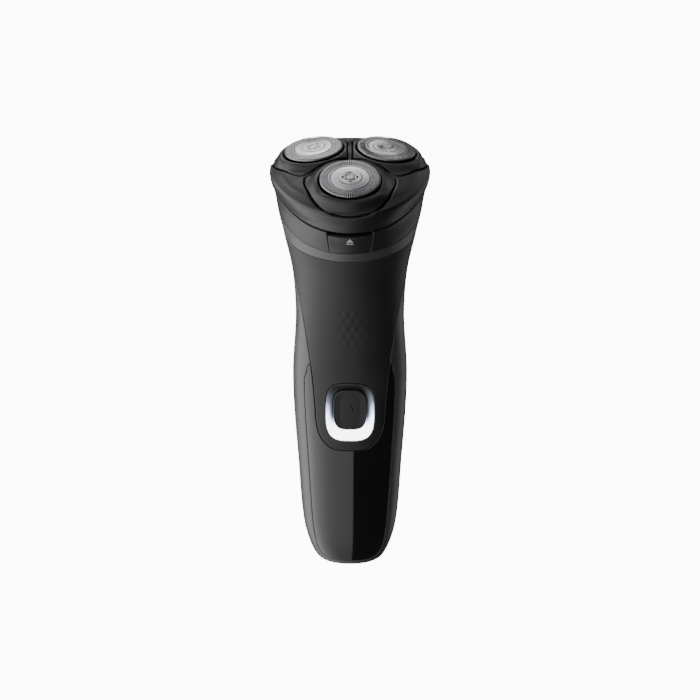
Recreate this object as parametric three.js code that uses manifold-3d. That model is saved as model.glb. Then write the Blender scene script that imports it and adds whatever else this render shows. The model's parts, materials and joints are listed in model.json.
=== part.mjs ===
// Three-head rotary electric shaver, millimetres, +Z up, front towards -Y.
// Shell pieces are cut from lofted outer and inner surfaces; the shaving unit leans forward
// in its own group, where Z is the normal of the plane it closes on.
import * as THREE from 'three';
import { mergeVertices } from 'three/addons/utils/BufferGeometryUtils.js';
import Module from 'manifold-3d';

const wasm = await Module();
wasm.setup();

// ---------------------------------------------------------------- driving sizes
const GAP = 0.3;                 // seam between fixed neighbours
const RUN = 0.45;                // room round a piece that moves
const WALL = 1.8;                // shell thickness

const HANDLE_L = 133.65;         // foot to neck seam, on the axis
const GRIP_W = 44;               // widest part of the handle
const GRIP_D = 39.4;
const NECK_R = 24.7;             // handle radius at the neck seam
const FOOT_SHARE = 0.82;         // flat foot against the section above it
const FOOT_ROUND = 15;           // height over which the foot rounds in
const GRIP_POWER = 2.3;          // fullness of the grip section
const STRAIGHT = 0.63;           // share of the handle that stays upright
const LEAN = THREE.MathUtils.degToRad(17);

const NECK_H = 14.8;             // neck seam up to the closing plane
const HEAD_R = 28.9;             // widest radius of the shaving unit
const HEAD_WIDE_W = 6.5;         // height of that widest line
const LOBE = 1.4;                // how far the three lobes swell out
const CAP_R = 10.7;              // steel shaving head
const CAP_PITCH = 15.3;          // shaving head centres round the head axis
const CAP_W = 13.9;              // height of the shaving head centres
const CAP_TILT = THREE.MathUtils.degToRad(7.5);
const FLOAT = 1.2;               // a shaving head presses in this far
const LOBE_AT = { front: -90, right: 30, left: 150 };

const STRIP_SLOPE = 0.104;       // slanted top edge of the accent strip
const STRIP_W = 7.8;             // how far that edge lies under the closing plane
const PINION_TEETH = 15;
const GEAR_TEETH = 27;
const TIP_W = 9.0;               // top of the drive spindles
const BATTERY_R = 7.1;
const BATTERY_L = 48;
const RING_W = 18.1;             // light ring, outside
const RING_H = 23.3;
const RING_Z = 67.3;             // its centre height
const BUTTON_W = 12.6;
const BUTTON_H = 16;
const BUTTON_UP = 0.9;           // how far the button sits over the ring's centre
const RING_SHARE = 0.50355;      // the ring's place between foot and neck seam, on the covers' outlines

// ---------------------------------------------------------------- materials
const paint = (color, roughness, metalness = 0, extra = {}) =>
  new THREE.MeshStandardMaterial({ color, roughness, metalness, ...extra });
const MAT = {
  shield: paint(0x1b1b1d, 0.62),
  grey: paint(0x4a4b4e, 0.42),
  gloss: paint(0x0b0b0d, 0.08),
  satin: paint(0x1a1a1c, 0.48),
  steel: paint(0xbfc1c4, 0.26, 1),
  blade: paint(0xa8abaf, 0.3, 1),
  light: paint(0xdfeaf2, 0.35, 0, { emissive: 0x9fb4c4 }),
  mark: paint(0xb9babd, 0.4),
  inner: paint(0x2d2e31, 0.6),
  white: paint(0xd8d8d2, 0.5),
  green: paint(0x1f5a34, 0.5),
  cell: paint(0x2d5f86, 0.4),
  rubber: paint(0x151515, 0.85),
};

// ---------------------------------------------------------------- helpers
const rad = THREE.MathUtils.degToRad;
const solid = (geometry) => {
  const g = geometry.clone();
  g.deleteAttribute('normal');
  g.deleteAttribute('uv');
  const m = mergeVertices(g, 1e-5);
  return new wasm.Manifold(new wasm.Mesh({
    numProp: 3,
    vertProperties: Float32Array.from(m.attributes.position.array),
    triVerts: Uint32Array.from(m.index.array),
  }));
};
const join = (...parts) => parts.reduce((a, b) => a.add(b));
const without = (a, ...parts) => parts.reduce((s, b) => s.subtract(b), a);
const both = (...parts) => parts.reduce((a, b) => a.intersect(b));
const shaver = new THREE.Group();
shaver.name = 'electric_shaver';
// slivers a boolean leaves on a shared face are dropped
const put = (name, body, material, parent = shaver) => {
  const m = join(...body.decompose().filter((b) => Math.abs(b.volume()) > 0.02)).getMesh();
  const g = new THREE.BufferGeometry();
  g.setAttribute('position', new THREE.BufferAttribute(m.vertProperties, 3));
  g.setIndex(new THREE.BufferAttribute(m.triVerts, 1));
  g.computeVertexNormals();
  const mesh = new THREE.Mesh(g, material);
  mesh.name = name;
  parent.add(mesh);
  return mesh;
};
const box = (x0, x1, y0, y1, z0, z1) => solid(new THREE.BoxGeometry(x1 - x0, y1 - y0, z1 - z0)
  .translate((x0 + x1) / 2, (y0 + y1) / 2, (z0 + z1) / 2));
const rod = (r, z0, z1, x = 0, y = 0, n = 28) => solid(new THREE.CylinderGeometry(r, r, z1 - z0, n)
  .rotateX(Math.PI / 2).translate(x, y, (z0 + z1) / 2));
const rodX = (r, x0, x1, y, z, n = 16) => solid(new THREE.CylinderGeometry(r, r, x1 - x0, n)
  .rotateZ(Math.PI / 2).translate((x0 + x1) / 2, y, z));
const rodY = (r, y0, y1, x, z, n = 12) => solid(new THREE.CylinderGeometry(r, r, y1 - y0, n)
  .translate(x, (y0 + y1) / 2, z));
const lathe = (profile, n = 32) => {
  const points = profile.map(([r, z]) => new THREE.Vector2(r, z));
  if (THREE.ShapeUtils.area(points) < 0) points.reverse();
  return solid(new THREE.LatheGeometry(points, n).rotateX(Math.PI / 2));
};
const extrude = (points, z0, z1) => solid(new THREE.ExtrudeGeometry(
  new THREE.Shape(points), { depth: z1 - z0, bevelEnabled: false, steps: 1 }).translate(0, 0, z0));
// an outline in x and z, pushed back through y0..y1
const frontPrism = (points, y0, y1) => solid(new THREE.ExtrudeGeometry(
  new THREE.Shape(points), { depth: y1 - y0, bevelEnabled: false, steps: 1 })
  .rotateX(Math.PI / 2).translate(0, y1, 0));
// rings of equal length, bottom to top, anticlockwise from above
const loft = (rings) => {
  const n = rings[0].length;
  const pos = [];
  const idx = [];
  rings.flat().forEach((p) => pos.push(p.x, p.y, p.z));
  for (let i = 0; i + 1 < rings.length; i += 1) {
    for (let j = 0; j < n; j += 1) {
      const a = i * n + j;
      const b = i * n + (j + 1) % n;
      idx.push(a, b, b + n, a, b + n, a + n);
    }
  }
  const cap = (ring, base, up) => {
    const c = ring.reduce((s, p) => s.add(p), new THREE.Vector3()).divideScalar(n);
    const k = pos.length / 3;
    pos.push(c.x, c.y, c.z);
    for (let j = 0; j < n; j += 1) {
      const a = base + j;
      const b = base + (j + 1) % n;
      idx.push(...(up ? [a, b, k] : [b, a, k]));
    }
  };
  cap(rings[0], 0, false);
  cap(rings.at(-1), (rings.length - 1) * n, true);
  const g = new THREE.BufferGeometry();
  g.setAttribute('position', new THREE.Float32BufferAttribute(pos, 3));
  g.setIndex(idx);
  return solid(g);
};
// smooth curve through [position, value] stations
const through = (stations, at) => {
  const t = THREE.MathUtils.clamp(at, stations[0][0], stations.at(-1)[0]);
  const i = Math.max(0, Math.min(stations.length - 2, stations.findIndex((s) => s[0] > t) - 1
    + (stations.findIndex((s) => s[0] > t) < 0 ? stations.length : 0)));
  const slope = (k) => (stations[k + 1][1] - stations[k][1]) / (stations[k + 1][0] - stations[k][0]);
  const bend = (k) => {
    if (k === 0) return slope(0);
    if (k === stations.length - 1) return slope(k - 1);
    const h0 = stations[k][0] - stations[k - 1][0];
    const h1 = stations[k + 1][0] - stations[k][0];
    return (slope(k - 1) * h1 + slope(k) * h0) / (h0 + h1);
  };
  const h = stations[i + 1][0] - stations[i][0];
  const s = (t - stations[i][0]) / h;
  return (2 * s ** 3 - 3 * s ** 2 + 1) * stations[i][1] + (s ** 3 - 2 * s ** 2 + s) * h * bend(i)
    + (3 * s ** 2 - 2 * s ** 3) * stations[i + 1][1] + (s ** 3 - s ** 2) * h * bend(i + 1);
};
const smooth = (t) => { const s = THREE.MathUtils.clamp(t, 0, 1); return s * s * (3 - 2 * s); };
const mirrored = (half) => {
  const right = new THREE.SplineCurve(half.map(([x, z]) => new THREE.Vector2(x, z)))
    .getPoints(half.length + 2);
  const left = right.slice(1, -1).reverse().map((p) => new THREE.Vector2(-p.x, p.y));
  return right.concat(half[0][0] === 0 ? left : right.slice(0, 0));
};
// a closed outline moved outwards by d
const grow = (points, d) => {
  const turn = THREE.ShapeUtils.area(points) > 0 ? 1 : -1;
  return points.map((p, i) => {
    const a = points[(i + points.length - 1) % points.length];
    const b = points[(i + 1) % points.length];
    const u = p.clone().sub(a).normalize();
    const w = b.clone().sub(p).normalize();
    const n = new THREE.Vector2(u.y + w.y, -(u.x + w.x)).normalize();
    const stretch = Math.min(1.6, 1 / Math.max(0.5, n.dot(new THREE.Vector2(u.y, -u.x))));
    return p.clone().addScaledVector(n, d * turn * stretch);
  });
};
const squircle = (w, h, zc, power = 3.4, n = 24) => Array.from({ length: n }, (_, i) => {
  const t = (i / n) * 2 * Math.PI;
  const f = (v) => Math.sign(v) * Math.abs(v) ** (2 / power);
  return new THREE.Vector2((w / 2) * f(Math.cos(t)), zc + (h / 2) * f(Math.sin(t)));
});

// ---------------------------------------------------------------- handle surface
const HALF_W = [[0, 0.727], [0.1, 0.836], [0.3, 0.925], [0.576, 1], [0.778, 0.936], [0.898, 0.991]]
  .map(([s, k]) => [s * HANDLE_L, (k * GRIP_W) / 2]).concat([[HANDLE_L, NECK_R]]);
const HALF_D = [[0, 0.8], [0.1, 0.832], [0.3, 0.914], [0.576, 1], [0.778, 0.959], [0.898, 1.086]]
  .map(([s, k]) => [s * HANDLE_L, (k * GRIP_D) / 2]).concat([[HANDLE_L, NECK_R]]);
const handleRing = (z, inset, n, round = true) => {
  const zz = Math.min(z, HANDLE_L);
  const t = round ? THREE.MathUtils.clamp(1 - zz / FOOT_ROUND, 0, 1) : 0;
  const foot = FOOT_SHARE + (1 - FOOT_SHARE) * Math.sqrt(1 - t * t);
  const s = smooth((zz - STRAIGHT * HANDLE_L) / ((1 - STRAIGHT) * HANDLE_L));
  const a = through(HALF_W, zz) * foot - inset;
  const b = through(HALF_D, zz) * foot - inset;
  const power = GRIP_POWER + (2 - GRIP_POWER) * s;
  const over = z - zz;
  return Array.from({ length: n }, (_, i) => {
    const th = (i / n) * 2 * Math.PI;
    const f = (v) => Math.sign(v) * Math.abs(v) ** (2 / power);
    const v = b * f(Math.sin(th));
    return new THREE.Vector3(a * f(Math.cos(th)),
      v * Math.cos(LEAN * s) - over * Math.sin(LEAN),
      zz + v * Math.sin(LEAN * s) + over * Math.cos(LEAN));
  });
};
const levels = (from, to, shares) => shares.map((s) => from + s * (to - from));
const FOOT_LEVELS = [0, 0.05, 0.16, 0.36, 0.65, 1].map((s) => s * FOOT_ROUND);
const GRIP_LEVELS = levels(FOOT_ROUND, HANDLE_L - GAP, [0.2, 0.4, 0.57, 0.7, 0.8, 0.87, 0.94, 1]);
const outer = (inset, over = 0) => loft([...FOOT_LEVELS, ...GRIP_LEVELS, HANDLE_L + over].slice(0, over ? 99 : -1)
  .map((z) => handleRing(z, inset, 32)));
const inner = (inset, from) => loft([from, ...levels(from, HANDLE_L, [0.1, 0.35, 0.58, 0.76, 0.9, 1]),
  HANDLE_L + NECK_H].map((z) => handleRing(z, inset, 18, z < FOOT_ROUND)));

// outlines seen from the front: soft-touch shield above, glossy panel below; the part of an
// outline under the light ring follows the ring, and the rest stretches up to the neck seam
const level = (s) => (s < RING_SHARE ? (s / RING_SHARE) * RING_Z
  : RING_Z + ((s - RING_SHARE) / (1 - RING_SHARE)) * (HANDLE_L - RING_Z));
const BUTTON_Z = RING_Z + BUTTON_UP;
const SHIELD = mirrored([[0, 0.385], [4, 0.386], [7, 0.392], [9.8, 0.409], [11.8, 0.435], [12.8, 0.473],
  [13.2, 0.53], [14, 0.6], [14.8, 0.645], [16.9, 0.742], [18.8, 0.815], [21.6, 0.878], [27, 0.95],
  [31, 1.08], [0, 1.16]].map(([x, s]) => [(x * GRIP_W) / 44, level(s)]));
const PANEL = mirrored([[0, 0.017], [6, 0.018], [9.8, 0.025], [12.2, 0.045], [13.5, 0.082], [14.5, 0.14],
  [15.5, 0.278], [16.2, 0.38], [16.8, 0.48], [17.1, 0.56], [17, 0.59], [16.2, 0.61], [14.2, 0.64],
  [0, 0.68]].map(([x, s]) => [(x * GRIP_W) / 44, level(s)]));
const RING_OUT = squircle(RING_W, RING_H, RING_Z);
const RING_IN = squircle(RING_W - 4, RING_H - 6.4, BUTTON_Z);
const BUTTON = squircle(BUTTON_W, BUTTON_H, BUTTON_Z);

const DEEP = 80;
const skin = outer(0);
const core = inner(WALL, -DEEP / 10);
const wall = skin.subtract(core);
const cutBand = outer(-1, 3).subtract(inner(WALL + GAP, -DEEP / 10));
const frontOf = (points, y1 = 0) => frontPrism(points, -DEEP, y1);

const SOCKET = { w: 10, d: 6.8, top: 13, y: 6 };
const socketHole = extrude(squircle(SOCKET.w + 2 * GAP, SOCKET.d + 2 * GAP, SOCKET.y, 5, 16), -1, SOCKET.top);
put('rear_housing', without(
  skin.subtract(inner(WALL, 2.4)),
  both(cutBand, join(frontOf(grow(SHIELD, GAP)), frontOf(grow(PANEL, GAP)))),
  socketHole,
), MAT.grey);
put('front_shield', without(both(wall, frontOf(SHIELD)), frontOf(grow(RING_OUT, GAP / 2))), MAT.shield);
put('front_panel', without(both(wall, frontOf(PANEL)), frontOf(grow(SHIELD, GAP))), MAT.gloss);

// light ring sits flush in the shield; the power button runs inside it
put('light_ring', both(skin.subtract(inner(WALL + 1.2, 20)),
  frontOf(RING_OUT).subtract(frontOf(RING_IN))), MAT.light);
const BOARD_Y = -13;
const BUTTON_TRAVEL = 0.6;
const SWITCH_Y = BOARD_Y - 2;
const plungerEnd = SWITCH_Y - BUTTON_TRAVEL - 0.15;
put('power_button', join(
  both(skin.subtract(inner(2.6, 20)), frontOf(BUTTON)),
  rodY(1.5, -GRIP_D / 2 + 1.4, plungerEnd, 0, BUTTON_Z),
), MAT.shield);

// ---------------------------------------------------------------- inside the handle
const fitCore = inner(WALL + GAP, 2.4 + GAP);
const PLATE_Y = [-3, -1.4];
const BATTERY_Z = 26;
const BATTERY_BEHIND = 1.042;    // room between the battery and the rear wall
const BATTERY_Y = through(HALF_D, BATTERY_Z) - WALL - BATTERY_BEHIND - BATTERY_R;
const boardSpan = [BATTERY_Z, BATTERY_Z + 62];
const ribAt = [BATTERY_Z + 0.2 * BATTERY_L, BATTERY_Z + 0.8 * BATTERY_L];
const posts = [-6, 6].flatMap((x) => [boardSpan[0] + 5, boardSpan[1] - 5]
  .map((z) => rodY(1.5, BOARD_Y + 1.4 + GAP, PLATE_Y[0] + 0.1, x, z, 8)));
put('chassis', without(
  join(
    both(box(-30, 30, ...PLATE_Y, SOCKET.top + 2, 0.76 * HANDLE_L), fitCore),
    ...ribAt.map((z) => both(box(-30, 30, PLATE_Y[1] - 0.1, BATTERY_Y + 1, z - 1, z + 1), fitCore)),
    ...posts,
  ),
  rod(BATTERY_R + GAP, BATTERY_Z - 3, BATTERY_Z + BATTERY_L + 3, 0, BATTERY_Y, 20),
), MAT.inner);
put('battery', rod(BATTERY_R, BATTERY_Z, BATTERY_Z + BATTERY_L, 0, BATTERY_Y, 24), MAT.cell);
const tab = (z0) => box(-4, 4, BATTERY_Y - 3, BATTERY_Y + 3, z0, z0 + 0.4);
put('battery_tab_lower', tab(BATTERY_Z - 0.6), MAT.steel);
put('battery_tab_upper', tab(BATTERY_Z + BATTERY_L + 0.2), MAT.steel);
put('circuit_board', box(-8, 8, BOARD_Y, BOARD_Y + 1.4, ...boardSpan), MAT.green);
put('power_switch', join(box(-3, 3, BOARD_Y - 1.3, BOARD_Y - 0.1, BUTTON_Z - 3, BUTTON_Z + 3),
  rodY(1.4, SWITCH_Y, BOARD_Y - 1.2, 0, BUTTON_Z)), MAT.inner);
put('status_led', box(-1.2, 1.2, BOARD_Y - 1.2, BOARD_Y - 0.1, RING_Z - RING_H / 2 + 1,
  RING_Z - RING_H / 2 + 3.4), MAT.light);
put('charging_socket', without(
  extrude(squircle(SOCKET.w, SOCKET.d, SOCKET.y, 5, 16), 0.5, SOCKET.top),
  extrude(squircle(SOCKET.w - 2.4, SOCKET.d - 2, SOCKET.y, 5, 16), 0, SOCKET.top - 3),
  ...[-1, 1].map((s) => rod(0.75, SOCKET.top - 4, SOCKET.top + 1, s * SOCKET.w * 0.19, SOCKET.y, 10)),
), MAT.inner);
for (const [name, s] of [['left', -1], ['right', 1]]) {
  put(`socket_pin_${name}`, rod(0.6, 5.5, SOCKET.top + 0.8, s * SOCKET.w * 0.19, SOCKET.y, 10), MAT.steel);
}

// ---------------------------------------------------------------- leaning head frame
const head = new THREE.Group();
head.name = 'head_axis';
head.position.set(0, -NECK_H * Math.sin(LEAN), HANDLE_L + NECK_H * Math.cos(LEAN));
head.rotation.x = LEAN;
shaver.add(head);

const RADII = [[-NECK_H, NECK_R - HEAD_R], [-STRIP_W, -2.6], [0, -1.55], [1.4, -1.2], [3.4, -0.5],
  [HEAD_WIDE_W, 0]].map(([w, d]) => [w, HEAD_R + d]);
const LOBES = [[-NECK_H, 0.1], [-STRIP_W, 1], [0, LOBE + 0.5], [HEAD_WIDE_W, LOBE]];
const rim = (theta, w) => through(RADII, w) + through(LOBES, w) * Math.cos(3 * (theta + Math.PI / 2));
const polar = (r, theta, w) => new THREE.Vector3(r * Math.cos(theta), r * Math.sin(theta), w);
const rimRing = (w, inset, n) => Array.from({ length: n }, (_, i) => {
  const th = (i / n) * 2 * Math.PI;
  return polar(rim(th, w) - inset, th, w);
});
const lobeAxes = Object.values(LOBE_AT).map((deg) => new THREE.Vector2(Math.cos(rad(deg)), Math.sin(rad(deg))));
// height of the crown: three tilted rims round the shaving heads, falling away between them
const crown = (x, v) => {
  const p = new THREE.Vector2(x, v);
  const lobe = lobeAxes.reduce((a, b) => (p.dot(a) >= p.dot(b) ? a : b));
  const out = p.dot(lobe) - CAP_PITCH;
  const away = Math.max(0, p.distanceTo(lobe.clone().multiplyScalar(CAP_PITCH)) - CAP_R - 0.9);
  return CAP_W - 0.3 - Math.tan(CAP_TILT) * out - 1.6 * smooth(away / 2.2) - 0.24 * away;
};
const crownRing = (share, inset, n) => Array.from({ length: n }, (_, i) => {
  const th = (i / n) * 2 * Math.PI;
  const r = share * (rim(th, HEAD_WIDE_W) - inset);
  const drop = crown(r * Math.cos(th), r * Math.sin(th)) - inset - HEAD_WIDE_W;
  return polar(r, th, HEAD_WIDE_W + drop * (1 - share ** 6) ** (1 / 6));
});
const CROWN_SHARES = [0.98, 0.91, 0.8, 0.68, 0.54, 0.38, 0.2];
const headSolid = (inset, from, n, shares) => loft([
  ...levels(from, HEAD_WIDE_W, [0, 0.3, 1]).map((w) => rimRing(w, inset, n)),
  ...shares.map((s) => crownRing(s, inset, n)),
]);
const neckSolid = (inset, from, to, n) =>
  loft(levels(from, to, [0, 0.5, 1]).map((w) => rimRing(w, inset, n)));

// slab under (or over) the slanted edge of the accent strip
const slanted = (lift, up) => solid(new THREE.BoxGeometry(90, 90, 30)
  .translate(0, 0, (up ? 15 : -15) + lift).rotateX(Math.atan(STRIP_SLOPE)).translate(0, 0, -STRIP_W));

// release button: a tab in the front of the collar that swings in about its lower edge
const TAB = { half: 7.9, low: -10.2, high: -1.5 };
const tabOutline = [[-TAB.half + 0.7, TAB.low], [TAB.half - 0.7, TAB.low], [TAB.half, TAB.high], [-TAB.half, TAB.high]]
  .map(([x, w]) => new THREE.Vector2(x, w));
const tabRoom = grow(tabOutline, GAP).map((p) => new THREE.Vector2(p.x, p.y > TAB.high ? 2 : p.y));
const HINGE = { v: rim(Math.PI / 2, 0) + 1.6, w: 0.3, r: 1.55, half: 7.2, mid: 3.2 };

// the drive gears turn just inside the accent strip, which gives way to them if its wall is thick
const spindleR = CAP_PITCH - (CAP_W - TIP_W) * Math.tan(CAP_TILT);
const MODULE = (2 * spindleR) / (PINION_TEETH + GEAR_TEETH);
const GEAR_W = [-8.8, -5.8];
const ADDENDUM = 0.8 * MODULE;
const GEAR_ROOM = 0.2;
const gearRooms = lobeAxes.map((a) => rod((MODULE * GEAR_TEETH) / 2 + ADDENDUM + GEAR_ROOM,
  GEAR_W[0] - GEAR_ROOM, GEAR_W[1] + GEAR_ROOM, a.x * spindleR, a.y * spindleR, 36));
put('accent_strip', without(neckSolid(0, -NECK_H, -2, 34), neckSolid(WALL, -NECK_H - 1, 0, 20),
  slanted(-GAP / 2, true), ...gearRooms), MAT.grey, head);

const knuckle = (x0, x1, reach) => join(rodX(HINGE.r, x0, x1, HINGE.v, HINGE.w), reach);
const barrelRoom = (x0, x1) => rodX(HINGE.r + RUN, x0, x1, HINGE.v, HINGE.w);
const pinHole = rodX(0.95, -20, 20, HINGE.v, HINGE.w, 12);
put('collar', without(
  join(
    without(neckSolid(0, -NECK_H + 1, -0.05, 34), neckSolid(WALL, -NECK_H, 1, 20), slanted(GAP / 2, false),
      frontPrism(tabRoom, -DEEP, 0)),
    ...[-1, 1].map((s) => knuckle(
      s > 0 ? HINGE.mid + GAP : -HINGE.half, s > 0 ? HINGE.half : -HINGE.mid - GAP,
      box(s > 0 ? HINGE.mid + GAP : -HINGE.half, s > 0 ? HINGE.half : -HINGE.mid - GAP,
        HINGE.v - 3, HINGE.v, HINGE.w - HINGE.r, -0.05),
    )),
  ),
  barrelRoom(-HINGE.mid - GAP, HINGE.mid + GAP), pinHole,
), MAT.satin, head);
put('hinge_pin', rodX(0.8, -HINGE.half + 0.4, HINGE.half - 0.4, HINGE.v, HINGE.w, 12), MAT.steel, head);

const LATCH = { half: 3, out: rim(-Math.PI / 2, 2) - WALL - 1.2, nose: 2.8 };
const MARK = [[-1.7, -5.2], [1.7, -5.2], [0, -2.9]].map(([x, w]) => new THREE.Vector2(x, w));
const tabLayer = (inset) => neckSolid(inset, -NECK_H + 1, -0.05, 34);
put('release_button', join(
  both(tabLayer(0).subtract(neckSolid(WALL - 0.3, -NECK_H, 1, 20)), frontPrism(tabOutline, -DEEP, 0)),
  box(-LATCH.half, LATCH.half, -LATCH.out, -LATCH.out + 1.1, -5, LATCH.nose),
  box(-LATCH.half, LATCH.half, 0.7 - rim(-Math.PI / 2, -5), -LATCH.out + 1.1, -5, -2.4),
  box(-LATCH.half, LATCH.half, -LATCH.out - 0.35, -LATCH.out + 1.1, LATCH.nose - 0.8, LATCH.nose),
), MAT.satin, head);
put('release_mark', both(frontPrism(MARK, -DEEP, 0),
  tabLayer(-0.35).subtract(tabLayer(-0.1))), MAT.mark, head);

// ---------------------------------------------------------------- drive train
const gear = (teeth) => {
  const r = (MODULE * teeth) / 2;
  const base = r * Math.cos(rad(20));
  const inv = (a) => Math.tan(a) - a;
  const half = (q) => (0.9 * Math.PI) / (2 * teeth) + inv(rad(20)) - inv(Math.acos(Math.min(1, base / q)));
  const stops = [r - 1.15 * MODULE, r + ADDENDUM];
  return Array.from({ length: teeth }, (_, k) => {
    const at = (k / teeth) * 2 * Math.PI;
    const side = (q, s) => new THREE.Vector2(q * Math.cos(at + s * half(q)), q * Math.sin(at + s * half(q)));
    return [...stops.map((q) => side(q, -1)), ...stops.toReversed().map((q) => side(q, 1))];
  }).flat();
};
const PLATE_W = [-11.6, -9.6];
const PLATE_ROOM = 0.55;
const MOTOR_L = 24;
const SHAFT_R = 1;
put('gear_plate', without(
  rod(rim(-Math.PI / 6, PLATE_W[0]) - WALL - PLATE_ROOM, ...PLATE_W, 0, 0, 28),
  rod(4, -20, 0, 0, 0, 16), ...[-1, 1].map((s) => rod(1.2, -20, 0, s * 8, 0, 10)),
  ...[-1, 1].map((s) => rod(1.9, PLATE_W[1] - 0.9, 0, s * 8, 0, 12)),
  ...lobeAxes.map((a) => rod(0.9, -20, 0, a.x * spindleR, a.y * spindleR, 12)),
), MAT.white, head);
const motorTop = PLATE_W[0] - GAP;
put('motor', without(
  join(
    both(rod(10.2, motorTop - MOTOR_L, motorTop, 0, 0, 24), box(-7.75, 7.75, -12, 12, -60, 0)),
    rod(3.4, motorTop - MOTOR_L - 1.6, motorTop - MOTOR_L + 0.1, 0, 0, 14),
  ),
  rod(SHAFT_R + GAP, motorTop - 6, 0, 0, 0, 16),
  ...[-1, 1].map((s) => rod(0.95, motorTop - 2.6, 0, s * 6, 0, 10)),
), MAT.steel, head);
const pinionGroup = new THREE.Group();
pinionGroup.rotation.z = rad(LOBE_AT.front);
head.add(pinionGroup);
put('motor_pinion', join(extrude(gear(PINION_TEETH), GEAR_W[0] - 0.5, GEAR_W[1] + 0.5),
  rod(SHAFT_R, motorTop - 5.5, GEAR_W[0], 0, 0, 16)), MAT.white, pinionGroup);

const FLOOR_W = [-4.4, -3.2];
const SPINDLE = { r: 2.2, bore: 1.1, top: 6.2 };
const floorEdge = (w) => rimRing(w, WALL + GAP + 0.1, 20);
put('chamber_floor', without(
  loft([floorEdge(FLOOR_W[0]), floorEdge(FLOOR_W[1])]),
  box(-TAB.half - 1, TAB.half + 1, -DEEP, -spindleR - 9.8, -6, 0),
  ...lobeAxes.map((a) => rod(SPINDLE.r + RUN, -6, 0, a.x * spindleR, a.y * spindleR, 16)),
), MAT.inner, head);

for (const [name, deg] of Object.entries(LOBE_AT)) {
  const station = new THREE.Group();
  station.position.set(spindleR * Math.cos(rad(deg)), spindleR * Math.sin(rad(deg)), 0);
  station.rotation.z = rad(deg);
  head.add(station);
  put(`drive_gear_${name}`, without(
    join(
      extrude(gear(GEAR_TEETH), ...GEAR_W),
      rod(SPINDLE.r, GEAR_W[0], SPINDLE.top, 0, 0, 14),
      box(-1.6, 1.6, -0.5, 0.5, SPINDLE.top - 0.1, TIP_W),
    ),
    rod(SPINDLE.bore, -20, SPINDLE.top - 1.5, 0, 0, 12),
  ), MAT.white, station);
  put(`axle_${name}`, rod(SPINDLE.bore - GAP, PLATE_W[0], SPINDLE.top - 2, 0, 0, 10), MAT.steel, station);
  put(`spindle_seal_${name}`, lathe([[SPINDLE.r + 0.25, FLOOR_W[1] + 0.15], [SPINDLE.r + 1.6, FLOOR_W[1] + 0.15],
    [SPINDLE.r + 0.9, FLOOR_W[1] + 1.2], [SPINDLE.r + 0.25, FLOOR_W[1] + 1.2],
    [SPINDLE.r + 0.25, FLOOR_W[1] + 0.15]], 14), MAT.rubber, station);
}
for (const [name, s] of [['left', -1], ['right', 1]]) {
  const at = new THREE.Group();
  at.position.set(s * 8, 0, 0);
  head.add(at);
  put(`plate_screw_${name}`, join(rod(1.6, PLATE_W[1] - 0.85, PLATE_W[1] - 0.05, 0, 0, 16),
    rod(0.85, PLATE_W[0] + 0.2, PLATE_W[1] - 0.8, 0, 0, 12)), MAT.steel, at);
}

// ---------------------------------------------------------------- shaving unit
const ARM_ROOM = 1;              // half the slot the web between two petals runs in
const WEB_T = 1;
const JUNCTION = 18.2;           // where two petals and the frame meet
const PETAL_LOW = HEAD_WIDE_W - 0.5;
const PETAL_GAP = 0.6;
const REACH = CAP_R + 3.9;       // petal outline round a shaving head
const SHELL = 1.6;

// petal outline in plan, lobe pointing along +x
const petalPlan = () => {
  const arm = (r, side) => new THREE.Vector2(
    r * Math.cos(rad(60)) + ARM_ROOM * Math.sin(rad(60)),
    side * (r * Math.sin(rad(60)) - ARM_ROOM * Math.cos(rad(60))));
  const bulge = Array.from({ length: 9 }, (_, i) => {
    const t = rad(-82 + (i / 8) * 164);
    const stretch = 1 + 0.1 * Math.cos(t) ** 4;
    return new THREE.Vector2(CAP_PITCH + REACH * stretch * Math.cos(t), REACH * Math.sin(t));
  });
  return [new THREE.Vector2(ARM_ROOM / Math.sin(rad(60)), 0), arm(JUNCTION, -1), ...bulge, arm(JUNCTION, 1)];
};
const turned = (points, deg) => points.map((p) => p.clone().rotateAround(new THREE.Vector2(), rad(deg)));
const crownOuter = headSolid(0, PETAL_GAP, 36, CROWN_SHARES);
const crownInner = headSolid(SHELL, -2, 20, CROWN_SHARES.filter((_, i) => i % 2 === 1));

const unit = new THREE.Group();
unit.name = 'shaving_unit';
head.add(unit);
const webPlan = (deg) => extrude(turned([[0, -WEB_T / 2], [JUNCTION + 3, -WEB_T / 2], [JUNCTION + 3, WEB_T / 2],
  [0, WEB_T / 2]].map(([x, y]) => new THREE.Vector2(x, y)), deg), 5, 20);
const lowered = (g, d) => solid(new THREE.BufferGeometry()
  .setAttribute('position', new THREE.BufferAttribute(g.getMesh().vertProperties, 3))
  .setIndex(new THREE.BufferAttribute(g.getMesh().triVerts, 1)).translate(0, 0, -d));
const webs = both(join(...Object.values(LOBE_AT).map((deg) => webPlan(deg + 60))),
  lowered(crownOuter, 0.3)).subtract(lowered(crownOuter, 2.8));
const petalRooms = Object.values(LOBE_AT).map((deg) =>
  extrude(turned(grow(petalPlan(), RUN), deg), PETAL_LOW - PETAL_GAP, 30));
put('head_frame', without(
  join(
    without(crownOuter, crownInner, ...petalRooms),
    webs,
    box(-LATCH.half, LATCH.half, -rim(-Math.PI / 2, 1.2) + 1.2, -LATCH.out - 0.65, 0.9, 1.7),
    without(knuckle(-HINGE.mid, HINGE.mid, box(-HINGE.mid, HINGE.mid, HINGE.v - 2.6, HINGE.v, PETAL_GAP,
      HINGE.w + HINGE.r)), crownInner),
  ),
  barrelRoom(HINGE.mid, HINGE.half + GAP), barrelRoom(-HINGE.half - GAP, -HINGE.mid), pinHole,
), MAT.satin, unit);

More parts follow.
